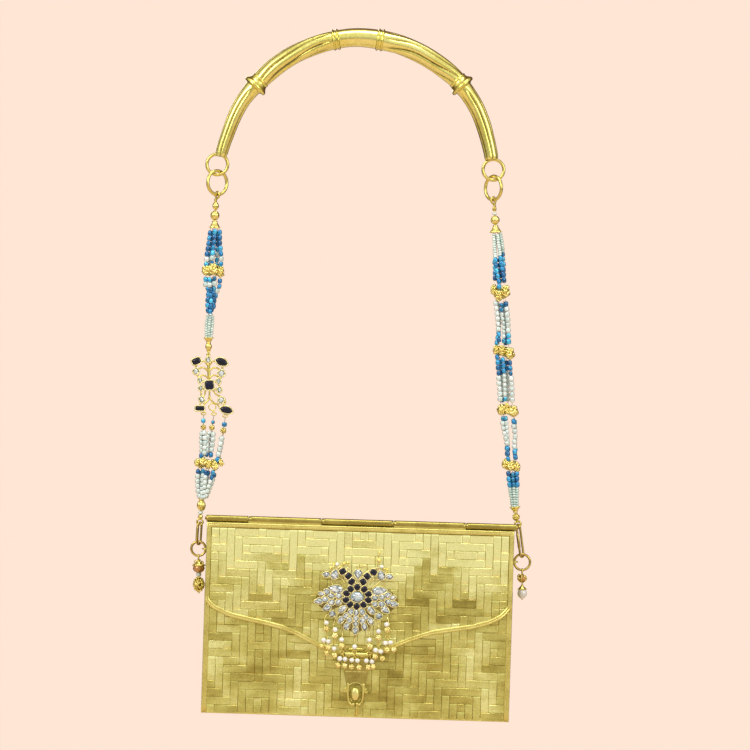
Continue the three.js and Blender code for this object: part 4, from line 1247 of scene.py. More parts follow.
string(B, [(222.4, 434.4, -0.6), (220.8, 443, -1.1), (217.2, 460.2, -1.0)], [(455.0, "w"), (470, "b")], 1.03)
string(B, [(223.2, 434.4, 1.1), (221.8, 443, 1.4), (218.4, 459, 1.2)], [(455.0, "v"), (470, "b")])
B.make("left_strands_lower_beads", BEAD_MATS, "strap_left", ("left_strands_lower",))

gold_piece("left_cluster_lower_beads", "left_cluster_lower", "strap_left",
           cluster([(197.6, 462.4, -1.0, 2.2, 2.9, 0.25), (203.1, 461.2, -2.1, 2.5, 3.0, 0.0), (208.4, 464.4, -1.7, 2.1, 3.3, 0.0),
                    (214.9, 465.6, -1.2, 2.4, 3.4, -0.2), (220.7, 462.2, -0.4, 1.8, 3.0, -0.3), (200.6, 464.0, 2.0, 2.4, 3.2, 0.1),
                    (206.6, 463.6, 2.3, 2.4, 3.2, 0.0), (213.0, 463.6, 2.1, 2.4, 3.2, -0.1)]))

B = Build()
string(B, [(198.6, 467.8, -0.8), (197.5, 476, -1.1), (197.6, 486, -1.0), (199.3, 497.4, -0.8)], [(473.4, "b"), (600, "w")], 0.95)
string(B, [(203.0, 468.4, -1.5), (202.3, 480, -1.6), (201.4, 497.4, -1.2)], [(473.2, "t"), (600, "v")])
string(B, [(206.2, 468.4, -1.2), (205.0, 480, -1.5), (203.7, 497.4, -1.0)], [(473.6, "b"), (600, "w")], 0.95)
string(B, [(213.6, 469.8, -0.6), (210.8, 480, -0.8), (205.4, 497.0, -0.6)], [(475.4, "b"), (600, "w")], 0.92)
string(B, [(214.6, 470.2, 1.0), (212.6, 482, 1.0), (206.6, 496.6, 0.8)], [(474.4, "b"), (600, "v")])
string(B, [(201.8, 468.4, 1.6), (200.6, 480, 1.6), (201.4, 497.4, 0.9)], [(473.6, "b"), (600, "w")], 0.95)
string(B, [(208.8, 468.4, 1.6), (206.8, 480, 1.7), (203.6, 497.4, 1.0)], [(473.6, "b"), (600, "v")])
B.make("left_strands_last_beads", BEAD_MATS, "strap_left", ("left_strands_last",))
STACK2 = [M["bead"], M["mint"], M["ring"], M["white"]]


def left_low(B):
    wire(B, [PX(201.7, 496), PX(201.3, 505), PX(200.2, 519.6)], 0.4, 2)
    lathe(B, PX(201.6, 497.6), (0, 0, -1), [(0, 0.3), (0, 1.9), (0.5, 2.1), (1.3, 1.7), (2.2, 1.5), (2.6, 1.2), (2.6, 0.3)], 24, 0, 0.5)
    ribbed_bead(B, PX(201.3, 505.5), (-0.03, 0, 1), 2.9, 3.7, 10, 0, 0.5)
    seed_bead(B, PX(200.5, 512.6), (0, 0, 1), 1.65, 1.9, 3, 0.55)
    cut_bead(B, PX(200.3, 516.6), (0, 0, 1), 1.75, 1.6, 8, 0, 0.5)
    eye(B, PX(199.9, 521.9), (0, 1, 0), 1.95, 0.62, 2)


gold_piece("left_lower_stack_beads", "left_lower_stack", "strap_left", left_low, STACK2)


# ---- right strap
def right_top(B):
    eye(B, R_EYE, EYE_AX_R, 2.15, 0.64, 2)
    wire(B, [R_EYE + np.array([0, 0, -2.2]), PX(494.4, 209), PX(495.0, 220), PX(495.6, 229)], 0.42, 2)
    for k in range(3):
        torus(B, PX(494.5, 203.6 + 1.0 * k), (0, 0, 1), 0.72, 0.3, 14, 6, 2)
    granule_bead(B, PX(494.4, 208.6), (0, 0, 1), 1.5, 1.9, 0, 0.5, 20, 0.34, 3)
    seed_bead(B, PX(494.5, 213.6), (0, 0, 1), 1.6, 1.3, 1, 0.7)
    ribbed_bead(B, PX(495.1, 220.0), (0.04, 0, 1), 3.0, 3.05, 9, 0, 0.55, 0.15)
    cap(B, PX(495.4, 225.0), PX(495.7, 232.6), 1.9, 3.65, 8, 0, 0.55)


gold_piece("right_top_stack_beads", "right_top_stack", "strap_right", right_top, [M["bead"], M["white"], M["ring"]])

B = Build()
string(B, [(493.6, 233.0, -0.8), (494.6, 248, -1.2), (496.4, 268, -1.4), (498.6, 281, -1.6), (499.5, 290.6, -1.9)], [(256.6, "p"), (600, "b")])
string(B, [(497.4, 233.0, -1.6), (499.0, 248, -2.0), (501.8, 266, -1.8), (504.4, 283.6, -1.5)], [(255.6, "p"), (600, "b")])
string(B, [(500.2, 233.0, -0.4), (502.4, 246, -0.4), (503.4, 262, 0.4), (504.4, 283.0, 1.2)], [(250.6, "m"), (261, "t"), (600, "b")])
string(B, [(495.2, 233.0, 1.1), (494.8, 252, 1.2), (494.8, 268, 0.8), (495.0, 281.0, 0.6)], [(258, "m"), (600, "b")])
string(B, [(498.6, 233.0, 1.5), (499.6, 252, 1.7), (500.0, 282.6, 1.8)], [(255, "m"), (600, "b")])
B.make("right_strands_1_beads", BEAD_MATS, "strap_right", ("right_strands_1",))
gold_piece("right_cluster_1_beads", "right_cluster_1", "strap_right",
           cluster([(493.5, 289.4, -0.9, 2.0, 3.7, 0.1), (498.5, 296.2, -2.1, 2.3, 3.8, 0.0), (505.4, 291.4, -1.4, 2.8, 4.2, -0.1),
                    (496.8, 292.4, 2.2, 2.5, 3.8, 0.1), (503.0, 293.6, 2.3, 2.6, 3.8, -0.1)]))
B = Build()
string(B, [(495.6, 299.8, -1.0), (496.8, 312, -1.3), (498.2, 326, -1.3), (499.2, 344.4, -1.2)], [(328.6, "w"), (600, "b")])
string(B, [(500.8, 302.8, -1.8), (501.6, 312, -1.9), (503.4, 326, -1.7), (503.6, 344.6, -1.5)], [(307.8, "t"), (335.0, "v"), (600, "t")])
string(B, [(505.4, 299.6, -1.0), (506.8, 312, -1.3), (508.2, 328, -1.3), (508.8, 346.6, -1.2)], [(303.4, "b"), (331.0, "w"), (600, "B")], 1.02)
string(B, [(498.6, 301.0, 1.6), (499.6, 322, 1.7), (496.6, 344.0, 0.8)], [(329.0, "v"), (600, "b")])
string(B, [(503.6, 300.8, 1.7), (505.0, 322, 1.8), (506.0, 345.0, 1.7)], [(304, "b"), (331.0, "v"), (600, "b")])
B.make("right_strands_2_beads", BEAD_MATS, "strap_right", ("right_strands_2",))
gold_piece("right_cluster_2_beads", "right_cluster_2", "strap_right",
           cluster([(495.8, 349.6, -0.9, 2.0, 3.4, 0.15), (501.4, 350.6, -2.0, 2.3, 3.6, 0.0), (509.4, 353.6, -1.3, 3.3, 4.1, -0.1),
                    (498.8, 351.0, 2.2, 2.5, 3.5, 0.1), (505.4, 352.0, 2.3, 2.6, 3.6, -0.1)]))
B = Build()
string(B, [(497.0, 354.6, -1.0), (498.2, 370, -1.3), (499.2, 385, -1.3), (500.4, 403.4, -1.1)], [(370.6, "b"), (397.4, "w"), (600, "b")])
string(B, [(502.6, 355.4, -1.8), (503.8, 370, -1.9), (504.8, 385, -1.8), (505.2, 401.4, -1.6)], [(369.8, "b"), (396.0, "v"), (600, "t")], 1.04)
string(B, [(509.6, 359.8, -1.0), (510.4, 371, -1.3), (511.8, 385, -1.3), (512.2, 404.8, -1.1)], [(369.0, "b"), (374.4, "t"), (400.4, "w"), (600, "b")], 1.02)
string(B, [(506.2, 358.0, 1.7), (507.6, 380, 1.8), (508.2, 403.0, 1.7)], [(371.0, "b"), (398.0, "v"), (600, "b")])
string(B, [(500.0, 357.0, 1.7), (501.4, 380, 1.8), (502.6, 402.4, 1.7)], [(371.0, "b"), (397.0, "v"), (600, "b")])
B.make("right_strands_3_beads", BEAD_MATS, "strap_right", ("right_strands_3",))
gold_piece("right_cluster_3_beads", "right_cluster_3", "strap_right",
           cluster([(501.4, 409.6, -1.1, 2.9, 3.9, 0.1), (506.6, 405.4, -2.2, 1.6, 2.0, 0.0), (507.2, 411.0, -2.0, 1.9, 2.3, 0.0), (513.2, 411.2, -1.1, 3.3, 4.0, -0.1),
                    (504.4, 409.6, 2.2, 2.6, 3.6, 0.1), (510.6, 410.4, 2.3, 2.6, 3.6, -0.1)]))
B = Build()
string(B, [(503.4, 414.6, -0.8), (502.6, 421, -0.9), (504.2, 432, -1.2), (507.2, 445, -1.2), (507.8, 459.6, -1.1)], [(418.6, "t"), (445.0, "w"), (600, "b")], 0.98)
string(B, [(505.2, 415.6, -1.5), (506.6, 424, -1.9), (507.4, 436, -1.8), (508.2, 446, -0.4), (508.4, 459.0, 0.6)], [(418.8, "t"), (443.0, "v"), (600, "t")])
string(B, [(513.4, 417.6, -0.9), (513.4, 425, -1.2), (515.0, 434, -1.3), (514.2, 446, -1.2), (516.0, 461.2, -1.1)], [(422.0, "b"), (446.6, "w"), (600, "B")], 0.98)
string(B, [(514.4, 417.4, 1.3), (515.4, 432, 1.5), (515.4, 446, 1.4), (515.0, 460.0, 1.3)], [(422.0, "b"), (446.0, "v"), (600, "b")])
string(B, [(504.6, 416.0, 1.3), (505.2, 432, 1.4), (507.0, 446, 1.4), (507.0, 459.0, 1.4)], [(419.0, "b"), (445.0, "v"), (600, "b")])
B.make("right_strands_4_beads", BEAD_MATS, "strap_right", ("right_strands_4",))
gold_piece("right_cluster_4_beads", "right_cluster_4", "strap_right",
           cluster([(505.2, 463.6, -0.9, 2.3, 3.5, 0.15), (510.4, 465.6, -2.0, 2.2, 3.6, 0.0), (516.4, 466.8, -1.1, 2.7, 3.6, -0.1),
                    (507.8, 465.0, 2.2, 2.4, 3.5, 0.1), (513.6, 465.8, 2.2, 2.5, 3.5, -0.1)]))
B = Build()
string(B, [(508.0, 470.4, -0.8), (509.0, 482, -1.1), (510.8, 494, -1.0), (512.6, 506.0, -0.7)], [(484.6, "b"), (600, "m")], 1.04)
string(B, [(512.4, 470.8, -1.6), (513.4, 482, -1.8), (514.0, 494, -1.7), (514.8, 506.0, -1.2)], [(482.6, "t"), (600, "m")], 1.04)
string(B, [(516.6, 470.8, -0.7), (517.2, 482, -1.0), (517.0, 494, -0.9), (516.8, 506.0, -0.6)], [(484.4, "b"), (600, "m")], 1.04)
string(B, [(510.2, 470.8, 1.5), (511.2, 484, 1.6), (513.6, 506.0, 1.0)], [(484.4, "b"), (600, "m")], 1.04)
string(B, [(514.8, 470.8, 1.5), (515.2, 484, 1.6), (515.8, 506.0, 1.0)], [(484.4, "b"), (600, "m")], 1.04)
B.make("right_strands_5_beads", BEAD_MATS, "strap_right", ("right_strands_5",))


def right_low(B):
    wire(B, [PX(515.2, 506), PX(516, 517), PX(517.6, 521.6)], 0.42, 2)
    cap(B, PX(515.5, 512.9), PX(514.9, 506.6), 1.5, 3.2, 8, 0, 0.5)
    granule_bead(B, PX(516.0, 516.9), (0, 0, 1), 2.55, 2.5, 0, 0.5, 40, 0.25, 9)
    for k in range(3):
        torus(B, PX(516.6 + 0.35 * k, 520.6 + 0.9 * k), (0.1, 0, 1), 0.75, 0.32, 14, 6, 2)
    eye(B, PX(517.9, 524.0), (0, 1, 0), 1.95, 0.62, 2)


gold_piece("right_lower_stack_beads", "right_lower_stack", "strap_right", right_low, STACK2)


# ---- tassels
def tassel_left(B):
    c = L_SIDE + np.array([0, 0, -4.7])
    eye(B, c + np.array([0, 0, -1.0]), (1, 0, 0), 1.75, 0.5, 0)
    wire(B, [c + np.array([0, 0, -2.6]), c + np.array([0.4, 0, -20])], 0.35, 0)
    z = c[2]
    x = c[0] + 0.2
    # gold bell cap with petals over a dark amber bead
    cap(B, (x, 0, z - 2.4), (x, 0, z - 6.6), 1.3, 4.0, 6, 0, 0.5)
    torus(B, (x - 1.6, -2.6, z - 4.4), (0.5, 1, 0.2), 1.5, 0.35, 20, 7, 0, 0.7)
    torus(B, (x + 1.9, -2.4, z - 4.8), (-0.4, 1, 0.1), 1.3, 0.35, 20, 7, 0, 0.6)
    cut_bead(B, (x, 0, z - 8.2), (0, 0, 1), 4.0, 3.2, 10, 1, 0.45)
    seed_bead(B, (x, 0, z - 12.4), (0, 0, 1), 1.7, 2.0, 2, 0.4)
    granule_bead(B, (x, 0, z - 18.8), (0, 0, 1), 3.9, 5.3, 3, 0.40, 60, 0.19, 21)
    for k in range(5):
        t = 2 * math.pi * k / 5
        torus(B, (x + 3.4 * math.cos(t), 3.4 * math.sin(t), z - 18.8), (math.cos(t), math.sin(t), 0), 1.5, 0.32, 18, 6, 3, 0.7)
    ball(B, (x, 0, z - 24.3), 0.6, 8, 6, 0)


def tassel_right(B):
    c = R_SIDE + np.array([0, 0, -5.2])
    eye(B, c + np.array([0, 0, -1.0]), (1, 0, 0), 1.75, 0.5, 0)
    wire(B, [c + np.array([0, 0, -2.6]), c + np.array([0, 0, -16])], 0.35, 0)
    z, x = c[2], c[0]
    torus(B, (x - 1.6, -1.9, z - 4.2), (0.2, 1, 0), 1.45, 0.4, 22, 8, 0, 0.75)
    cut_bead(B, (x + 0.2, 0, z - 5.4), (0.2, 0, 1), 2.9, 2.4, 8, 1, 0.6)
    for k in range(6):
        t = 2 * math.pi * k / 6 + 0.3
        d = np.array([math.cos(t), math.sin(t), 0])
        wire(B, [np.array([x, 0, z - 3.0]) + d * 0.6, np.array([x, 0, z - 4.6]) + d * 2.9, np.array([x, 0, z - 6.6]) + d * 2.8, np.array([x, 0, z - 8.2]) + d * 0.8], 0.32, 0, 0.5)
    cap(B, (x, 0, z - 9.6), (x, 0, z - 12.9), 0.9, 2.8, 6, 0, 0.5)
    ball(B, (x, 0, z - 15.4), 3.1, 24, 16, 2, 0.1, (0, 0, 1), 1.15)
    ball(B, (x, 0, z - 19.3), 0.5, 8, 6, 0)


B = Build()
tassel_left(B)
B.make("tassel_left_beads", [M["ring"], M["amber"], M["white"], M["bead"]], "tassel_left", ("tassel_left",))
B = Build()
tassel_right(B)
B.make("tassel_right_beads", [M["ring"], M["amber"], M["pearl"]], "tassel_right", ("tassel_right",))


# ------------------------------------------------------------------ case: woven surface
CELL = 5.2
HALF_W, HALF_H = 100.7, 62.6
FRONT, FLAP_Y, BACK = -14.5, -16.7, 16.0
LOW_EDGE = [(-100.9, 14.6), (-99.2, 9.6), (-95.2, 5.6), (-84, 0.6), (-71.8, -1.9), (-60.6, -4.0), (-49.2, -6.5), (-38, -11), (-30.6, -14.8), (-23, -18.4),
            (-12, -21.6), (-3.2, -23.3), (3.2, -23.3), (12, -21.2), (22, -17.4), (30, -13.9), (39, -10.3), (48.9, -7.0), (60, -5.0), (74.5, -2.6), (86, 0.7),
            (94, 4.8), (99, 10.2), (100.9, 16.0)]


def low_edge(x):
    return float(np.interp(x, [p[0] for p in LOW_EDGE], [p[1] for p in LOW_EDGE]))


def wave(k, period):
    k = k % period
    return k if k <= period // 2 else period - k


# painted reflection: broad light and dark patches that stand in for how differently the strips reflect
def reflection_patch_tone(u, w):
    return 0.13 * math.sin(0.043 * u + 1.1) * math.sin(0.061 * w + 0.6) + 0.09 * math.sin(0.083 * u - 0.047 * w + 2.0) + 0.06 * math.sin(0.15 * u + 0.12 * w)


# bright entries paint highlights on the flap; dark entries darken the tone there
BRIGHT_AND_DULL_PATCHES = [(-50, 38, -0.22, 16, 7), (-90, 24, -0.22, 9, 8), (50, 33, -0.30, 18, 7), (66, 15, -0.20, 13, 8), (30, 0, -0.26, 10, 6), (-31, -1, -0.22, 11, 6), (-14, 30, -0.12, 10, 8),
          (-19, 49, 0.22, 12, 8), (22, 47, 0.22, 11, 8), (-80, 48, 0.14, 16, 8), (56, 20, 0.12, 9, 6), (-36, 18, 0.12, 13, 7), (84, 52, 0.10, 14, 8)]


def bright_and_dull_patches(u, w):
    """Bright patches of painted highlight and darker patches on the flap."""
    return sum(a * math.exp(-((u - x) / sx) ** 2 - ((w - z) / sz) ** 2) for x, z, a, sx, sz in BRIGHT_AND_DULL_PATCHES)


def strip(B, place, l0, l1, a0, a1, along_u, rr, lift, tone_):
    """One raised strip; its ends dip under the strips that cross it."""
    gap = rr.uniform(0.09, 0.17)
    l0, l1, a0, a1 = l0 + 0.03, l1 - 0.03, a0 + gap, a1 - gap
    top = lift * rr.uniform(0.88, 1.10)
    lean = (rr.uniform(-0.08, 0.08) + 0.10 * math.sin(0.07 * l0 + 0.045 * a0)) * min(1.0, lift / 0.3)
    end = rr.uniform(-0.05, 0.05)
    n = l1 - l0
    st = [0.0, 0.30, 0.95, n / 2, n - 0.95, n - 0.30, n]
    ht = [0.30, 0.66, 0.97, 1.0 + rr.uniform(-0.02, 0.10), 0.97, 0.66, 0.30]
    bev = 0.15
    verts = []
    for s, h in zip(st, ht):
        z = h * top + end * (s / n - 0.5) * (1 if 0.5 < s < n - 0.5 else 0.3)
        z0, z1 = z - lean * 0.5, z + lean * 0.5
        sec = [(a0, 0.0), (a0, z0 - 0.14), (a0 + bev, z0), (a1 - bev, z1), (a1, z1 - 0.14), (a1, 0.0)]
        for a, h_ in sec:
            verts.append(place(l0 + s, a, max(h_, 0.0)) if along_u else place(a, l0 + s, max(h_, 0.0)))
    m = 6
    faces, tones = [], []
    for k in range(len(st) - 1):
        for i in range(m):
            j = (i + 1) % m
            faces.append([k * m + i, k * m + j, (k + 1) * m + j, (k + 1) * m + i])
            # painted highlight on the bevels (+0.10) and painted shade on the side walls (-0.34)
            tones.append(tone_ + (0.10 if i in (1, 3) else (-0.34 if i in (0, 4) else 0.0)))
    faces += [list(range(m)), [(len(st) - 1) * m + i for i in range(m)]]
    # painted shade on the end caps
    tones += [tone_ - 0.2, tone_ - 0.2]
    B.add(verts, faces, 0, tones, False)


def clipped_strip(B, place, poly, rr, lift, tone_):
    """A strip cut along the border: its footprint as a low bevelled block."""
    top = lift * rr.uniform(0.88, 1.08)
    c = np.mean(np.array(poly), axis=0)
    n = len(poly)
    verts = [place(u, w, 0.0) for u, w in poly] + [place(u, w, top - 0.15) for u, w in poly]
    for u, w in poly:
        d = c - np.array([u, w])
        q = np.array([u, w]) + unit(d) * min(0.22, np.linalg.norm(d) * 0.3)
        verts.append(place(q[0], q[1], top))
    faces = [list(range(n))]
    tones = [tone_]
    # painted shade on the side walls (-0.2) and painted highlight on the top bevel (+0.2)
    for base, t in ((0, -0.2), (n, 0.2)):
        for i in range(n):
            j = (i + 1) % n
            faces.append([base + i, base + j, base + n + j, base + n + i])
            tones.append(tone_ + t)
    faces.append([2 * n + i for i in range(n)])
    tones.append(tone_)
    B.add(verts, faces, 0, tones, False)


def ground_sheet(B, place, poly, h=0.045):
    n = len(poly)
    verts = [place(u, w, 0.004) for u, w in poly] + [place(u, w, h) for u, w in poly]
    faces = [list(range(n))[::-1], [n + i for i in range(n)]] + [[i, (i + 1) % n, n + (i + 1) % n, n + i] for i in range(n)]
    B.add(verts, faces, 1, 0.3, False)


def woven(B, place, u0, u1, w0, w1, seed, lift=0.40, phase=(0, 0), periods=(26, 24), cell=CELL, floor_of=None, painted_top_light=0.0, strength=1.0, base=0.46, flat_zone=None):
    """Strips woven in stepped diamonds over u0..u1 and w0..w1. floor_of(u): the lowest w that is kept."""
    rr = random.Random(seed)
    cols = int(round((u1 - u0) / cell))
    rows = int(round((w1 - w0) / cell))
    cu, cw = (u1 - u0) / cols, (w1 - w0) / rows
    side = [[((wave(i + phase[0], periods[0]) + wave(j + phase[1], periods[1])) % 6) < 3 for j in range(rows)] for i in range(cols)]
    runs = []
    for j in range(rows):
        i = 0
        while i < cols:
            if side[i][j]:
                k = i
                stop = 5 if rr.random() > 0.24 else rr.choice((1, 2))
                while k < cols and side[k][j] and k - i < stop:
                    k += 1
                runs.append((i, k, j, j + 1, True))
                i = k
            else:
                i += 1
    for i in range(cols):
        j = 0
        while j < rows:
            if not side[i][j]:
                k = j
                stop = 5 if rr.random() > 0.24 else rr.choice((1, 2))
                while k < rows and not side[i][k] and k - j < stop:
                    k += 1
                runs.append((i, i + 1, j, k, False))
                j = k
            else:
                j += 1
    for i0, i1, j0, j1, across in runs:
        a, b, c, d = u0 + i0 * cu, u0 + i1 * cu, w0 + j0 * cw, w0 + j1 * cw
        mu, mw = (a + b) / 2, (c + d) / 2
        # painted reflection: the broad patches and the per-strip random tone stand in for each strip reflecting
        # differently; across strips get a darker tone
        t = base + strength * (1.15 * reflection_patch_tone(mu, mw) + rr.uniform(-0.115, 0.115)) + (rr.uniform(-0.16, 0.08) if across else 0.04)
        # painted light: the flap's tone is raised towards its top
        if painted_top_light:
            t += painted_top_light * min(1.0, max(0.0, (mw - 18) / 34.0)) + bright_and_dull_patches(mu, mw)
        if floor_of is not None:
            f = [floor_of(x) for x in np.linspace(a, b, 5)]
            if min(f) >= d:
                continue
            if max(f) > c:
                g = 0.1
                xs = np.linspace(a + g, b - g, 5)
                low_pts = [(x, max(c + g, floor_of(x))) for x in xs if floor_of(x) < d - g - 0.15]
                if len(low_pts) < 2:
                    continue
                xa, xb = low_pts[0][0], low_pts[-1][0]
                poly = low_pts + [(xb, d - g), (xa, d - g)]
                clipped_strip(B, place, poly, rr, lift, t)
                continue
        up = lift
        if flat_zone and a < flat_zone[1] and b > flat_zone[0] and c < flat_zone[3] and d > flat_zone[2]:
            up = 0.05  # pressed flat where the side ring lies
        if across:
            strip(B, place, a, b, c, d, True, rr, up, t)
        else:
            strip(B, place, c, d, a, b, False, rr, up, t)


M["sheet"] = metal("sheet_gold", (0.50, 0.42, 0.10), (0.70, 0.61, 0.17), (0.84, 0.76, 0.26), (0.24, 0.36), 40, 1500, 0.00003, 0.3, False)
M["trim"] = metal("trim_gold", (0.34, 0.28, 0.065), (0.645, 0.57, 0.16), (0.88, 0.82, 0.32), (0.22, 0.34), 90, 1600, 0.00002, 0.25)
for node_name in ("case_shell", "front_panel", "flap", "hinge_pin", "hasp_pin", "hasp_bracket", "clasp_stud"):
    ob = frame.get(node_name) if hasattr(frame, "get") else bpy.data.objects.get(node_name)
    if ob is None:
        ob = bpy.data.objects[node_name]
    mat = M["antique"] if node_name == "hinge_pin" else M["ring"] if node_name in ("hasp_pin", "hasp_bracket", "clasp_stud") else M["sheet"]
    if not ob.material_slots:
        ob.data.materials.append(mat)
    for slot_ in ob.material_slots:
        slot_.material = mat


def on_front(u, w, h):
    return CW(u, FRONT - h, w)


def on_flap(u, w, h):
    return CW(u, FLAP_Y - h, w)


def on_back(u, w, h):
    return CW(u, BACK + h, w)


def on_left(u, w, h):
    return CW(-HALF_W - h, u, w)


def on_right(u, w, h):
    return CW(HALF_W + h, u, w)


def on_base(u, w, h):
    return CW(u, w, -HALF_H - h)


def on_top(u, w, h):
    return CW(u, w, HALF_H + h)


WEAVE = [M["weave"], M["ground"]]
EDGE = 97.75
B = Build()
ground_sheet(B, on_front, [(-EDGE - 1, -62.5), (EDGE + 1, -62.5), (EDGE + 1, 21.8), (-EDGE - 1, 21.8)])
woven(B, on_front, -EDGE, EDGE, -62.5, -62.5 + 16 * 5.26, 11, 0.40, (7, 4), strength=0.84, base=0.545)
B.make("front_weave", WEAVE, "case")
B = Build()
margin = 1.1
curve = [(x, low_edge(x) + margin) for x in np.linspace(-EDGE - 1.6, EDGE + 1.6, 120)]
ground_sheet(B, on_flap, curve + [(EDGE + 1.6, 61), (-EDGE - 1.6, 61)])
# painted light: the flap's higher base (0.675 against the front's 0.545) and its top brightening make it lighter than
# the front below
woven(B, on_flap, -EDGE, EDGE, -62.5 + 7 * 5.26, -62.5 + 23.1 * 5.26, 23, 0.40, (7, 11), floor_of=lambda x: low_edge(x) + margin + 0.4, painted_top_light=0.56, base=0.675)
B.make("flap_weave", WEAVE, "flap")
B = Build()
ground_sheet(B, on_back, [(-EDGE - 1, -62.4), (EDGE + 1, -62.4), (EDGE + 1, 62.4), (-EDGE - 1, 62.4)])
woven(B, on_back, -EDGE, EDGE, -62.4, 59.4, 31, 0.40, (3, 0))
B.make("back_weave", WEAVE, "case")
B = Build()
for fn, seed in ((on_left, 41), (on_right, 43)):
    ground_sheet(B, fn, [(-12.9, -62.4), (15.4, -62.4), (15.4, 62.3), (-12.9, 62.3)])
    woven(B, fn, -12.6, 14.6, -62.2, 62.2, seed, 0.36, (2, 5), flat_zone=(-9.0, 9.0, 24.0, 56.0))
ground_sheet(B, on_base, [(-99.6, -12.9), (99.6, -12.9), (99.6, 15.4), (-99.6, 15.4)])
woven(B, on_base, -99.4, 99.4, -12.6, 14.6, 47, 0.36, (6, 2))
ground_sheet(B, on_top, [(-99.6, -9.6), (99.6, -9.6), (99.6, 15.4), (-99.6, 15.4)])
woven(B, on_top, -99.4, 99.4, -9.4, 14.6, 49, 0.34, (1, 3))
B.make("case_weave", WEAVE, "case")


# ---- mouldings
def moulding(B, place, path, section, closed=False, mat=0, tone=0.55, smooth=True, low=None):
    """Sweep a section of (side, height) pairs along a flat path, mitred at the corners."""
    P = [np.array(p, float) for p in path]
    n, m = len(P), len(section)
    verts = []
    for i in range(n):
        a = P[(i - 1) % n] if closed or i > 0 else None
        b = P[(i + 1) % n] if closed or i < n - 1 else None
        d0 = unit(P[i] - a) if a is not None else None
        d1 = unit(b - P[i]) if b is not None else None
        if d0 is None:
            d0 = d1
        if d1 is None:
            d1 = d0
        n0, n1 = np.array([-d0[1], d0[0]]), np.array([-d1[1], d1[0]])
        side = unit(n0 + n1)
        side = side / max(float(np.dot(side, n0)), 0.6)
        k = 1.0 if low is None else low(P[i][0], P[i][1])
        for s, h in section:
            q = P[i] + side * s
            verts.append(place(q[0], q[1], h * k))
    faces = []
    for i in range(n if closed else n - 1):
        j = (i + 1) % n
        for k in range(m):
            l = (k + 1) % m
            faces.append([i * m + k, i * m + l, j * m + l, j * m + k])
    if not closed:
        faces += [list(range(m))[::-1], [(n - 1) * m + k for k in range(m)]]
    B.add(verts, faces, mat, tone, smooth)


DOUBLE = [(-1.55, 0.0), (-1.56, 0.42), (-1.38, 0.74), (-1.02, 0.90), (-0.66, 0.86), (-0.42, 0.72), (-0.30, 0.69), (-0.12, 0.76), (0.28, 0.88), (0.74, 0.86), (1.16, 0.68), (1.42, 0.40), (1.50, 0.0)]
SINGLE = [(-1.5, 0.0), (-1.5, 0.30), (-1.3, 0.50), (-0.9, 0.56), (-0.45, 0.42), (-0.3, 0.36), (0.3, 0.36), (0.45, 0.42), (0.9, 0.56), (1.3, 0.50), (1.5, 0.30), (1.5, 0.0)]
EDGE_ROUND = [(0.62 * math.cos(2 * math.pi * k / 10), 0.62 * math.sin(2 * math.pi * k / 10)) for k in range(10)]


def under_clasp(x, z):
    if z > -5:
        return 1.0
    t = min(max((abs(x) - 8.6) / 5.0, 0.0), 1.0)
    return 0.42 + 0.58 * t * t * (3 - 2 * t)


xs = list(np.linspace(-99.35, 99.35, 150))
low_path = []
for x in xs:
    low_path.append((x, low_edge(x * 1.0) + 1.55))
for it in range(3):
    low_path = [low_path[0]] + [(low_path[i][0], (low_path[i - 1][1] + 2 * low_path[i][1] + low_path[i + 1][1]) / 4) for i in range(1, len(low_path) - 1)] + [low_path[-1]]
side_r = [(99.35, z) for z in np.linspace(low_path[-1][1] + 3, 58, 12)]
top_path = [(99.35, 60.85)] + [(x, 60.85) for x in np.linspace(90, -90, 30)] + [(-99.35, 60.85)]
side_l = [(-99.35, z) for z in np.linspace(58, low_path[0][1] + 3, 12)]
B = Build()
moulding(B, on_flap, low_path + side_r + top_path + side_l, DOUBLE, True, 0, 0.6, True, under_clasp)
B.make("flap_trim", [M["trim"]], "flap")
B = Build()
for s in (-1, 1):
    moulding(B, on_front, [(s * 99.1, z) for z in np.linspace(-62.5, 21.8, 18)], SINGLE, False, 0, 0.55)
    moulding(B, on_back, [(s * 99.1, z) for z in np.linspace(-62.4, 62.4, 24)], SINGLE, False, 0, 0.55)
moulding(B, on_back, [(x, 60.9) for x in np.linspace(-97.4, 97.4, 40)], SINGLE, False, 0, 0.55)
for s in (-1, 1):
    for y in (FRONT + 0.15, BACK - 0.15):
        tube(B, [CW(s * 100.55, y, z) for z in np.linspace(-62.5, 22 if y < 0 else 62.5, 16)], 0.62, 10, mat=0, tone=0.6, round_ends=True)
    for z in (-62.4, 62.4):
        tube(B, [CW(s * 100.55, y, z) for y in np.linspace(-14.2 if z < 0 else -12.8, 15.8, 8)], 0.6, 10, mat=0, tone=0.6, round_ends=True)
for y in (FRONT + 0.2, BACK - 0.15):
    tube(B, [CW(x, y, -62.4) for x in np.linspace(-100.4, 100.4, 30)], 0.55, 10, mat=0, tone=0.6, round_ends=True)
tube(B, [CW(x, BACK - 0.15, 62.45) for x in np.linspace(-100.4, 100.4, 30)], 0.6, 10, mat=0, tone=0.6, round_ends=True)
tube(B, [CW(x, FRONT + 0.45, 21.9) for x in np.linspace(-99.4, 99.4, 30)], 0.5, 10, mat=0, tone=0.6, round_ends=True)
B.make("case_trim", [M["trim"]], "case")

# ---- hinge knuckles
KNUCKLES = [-101.6, -73.8, -25.9, 21.5, 69.0, 103.2]


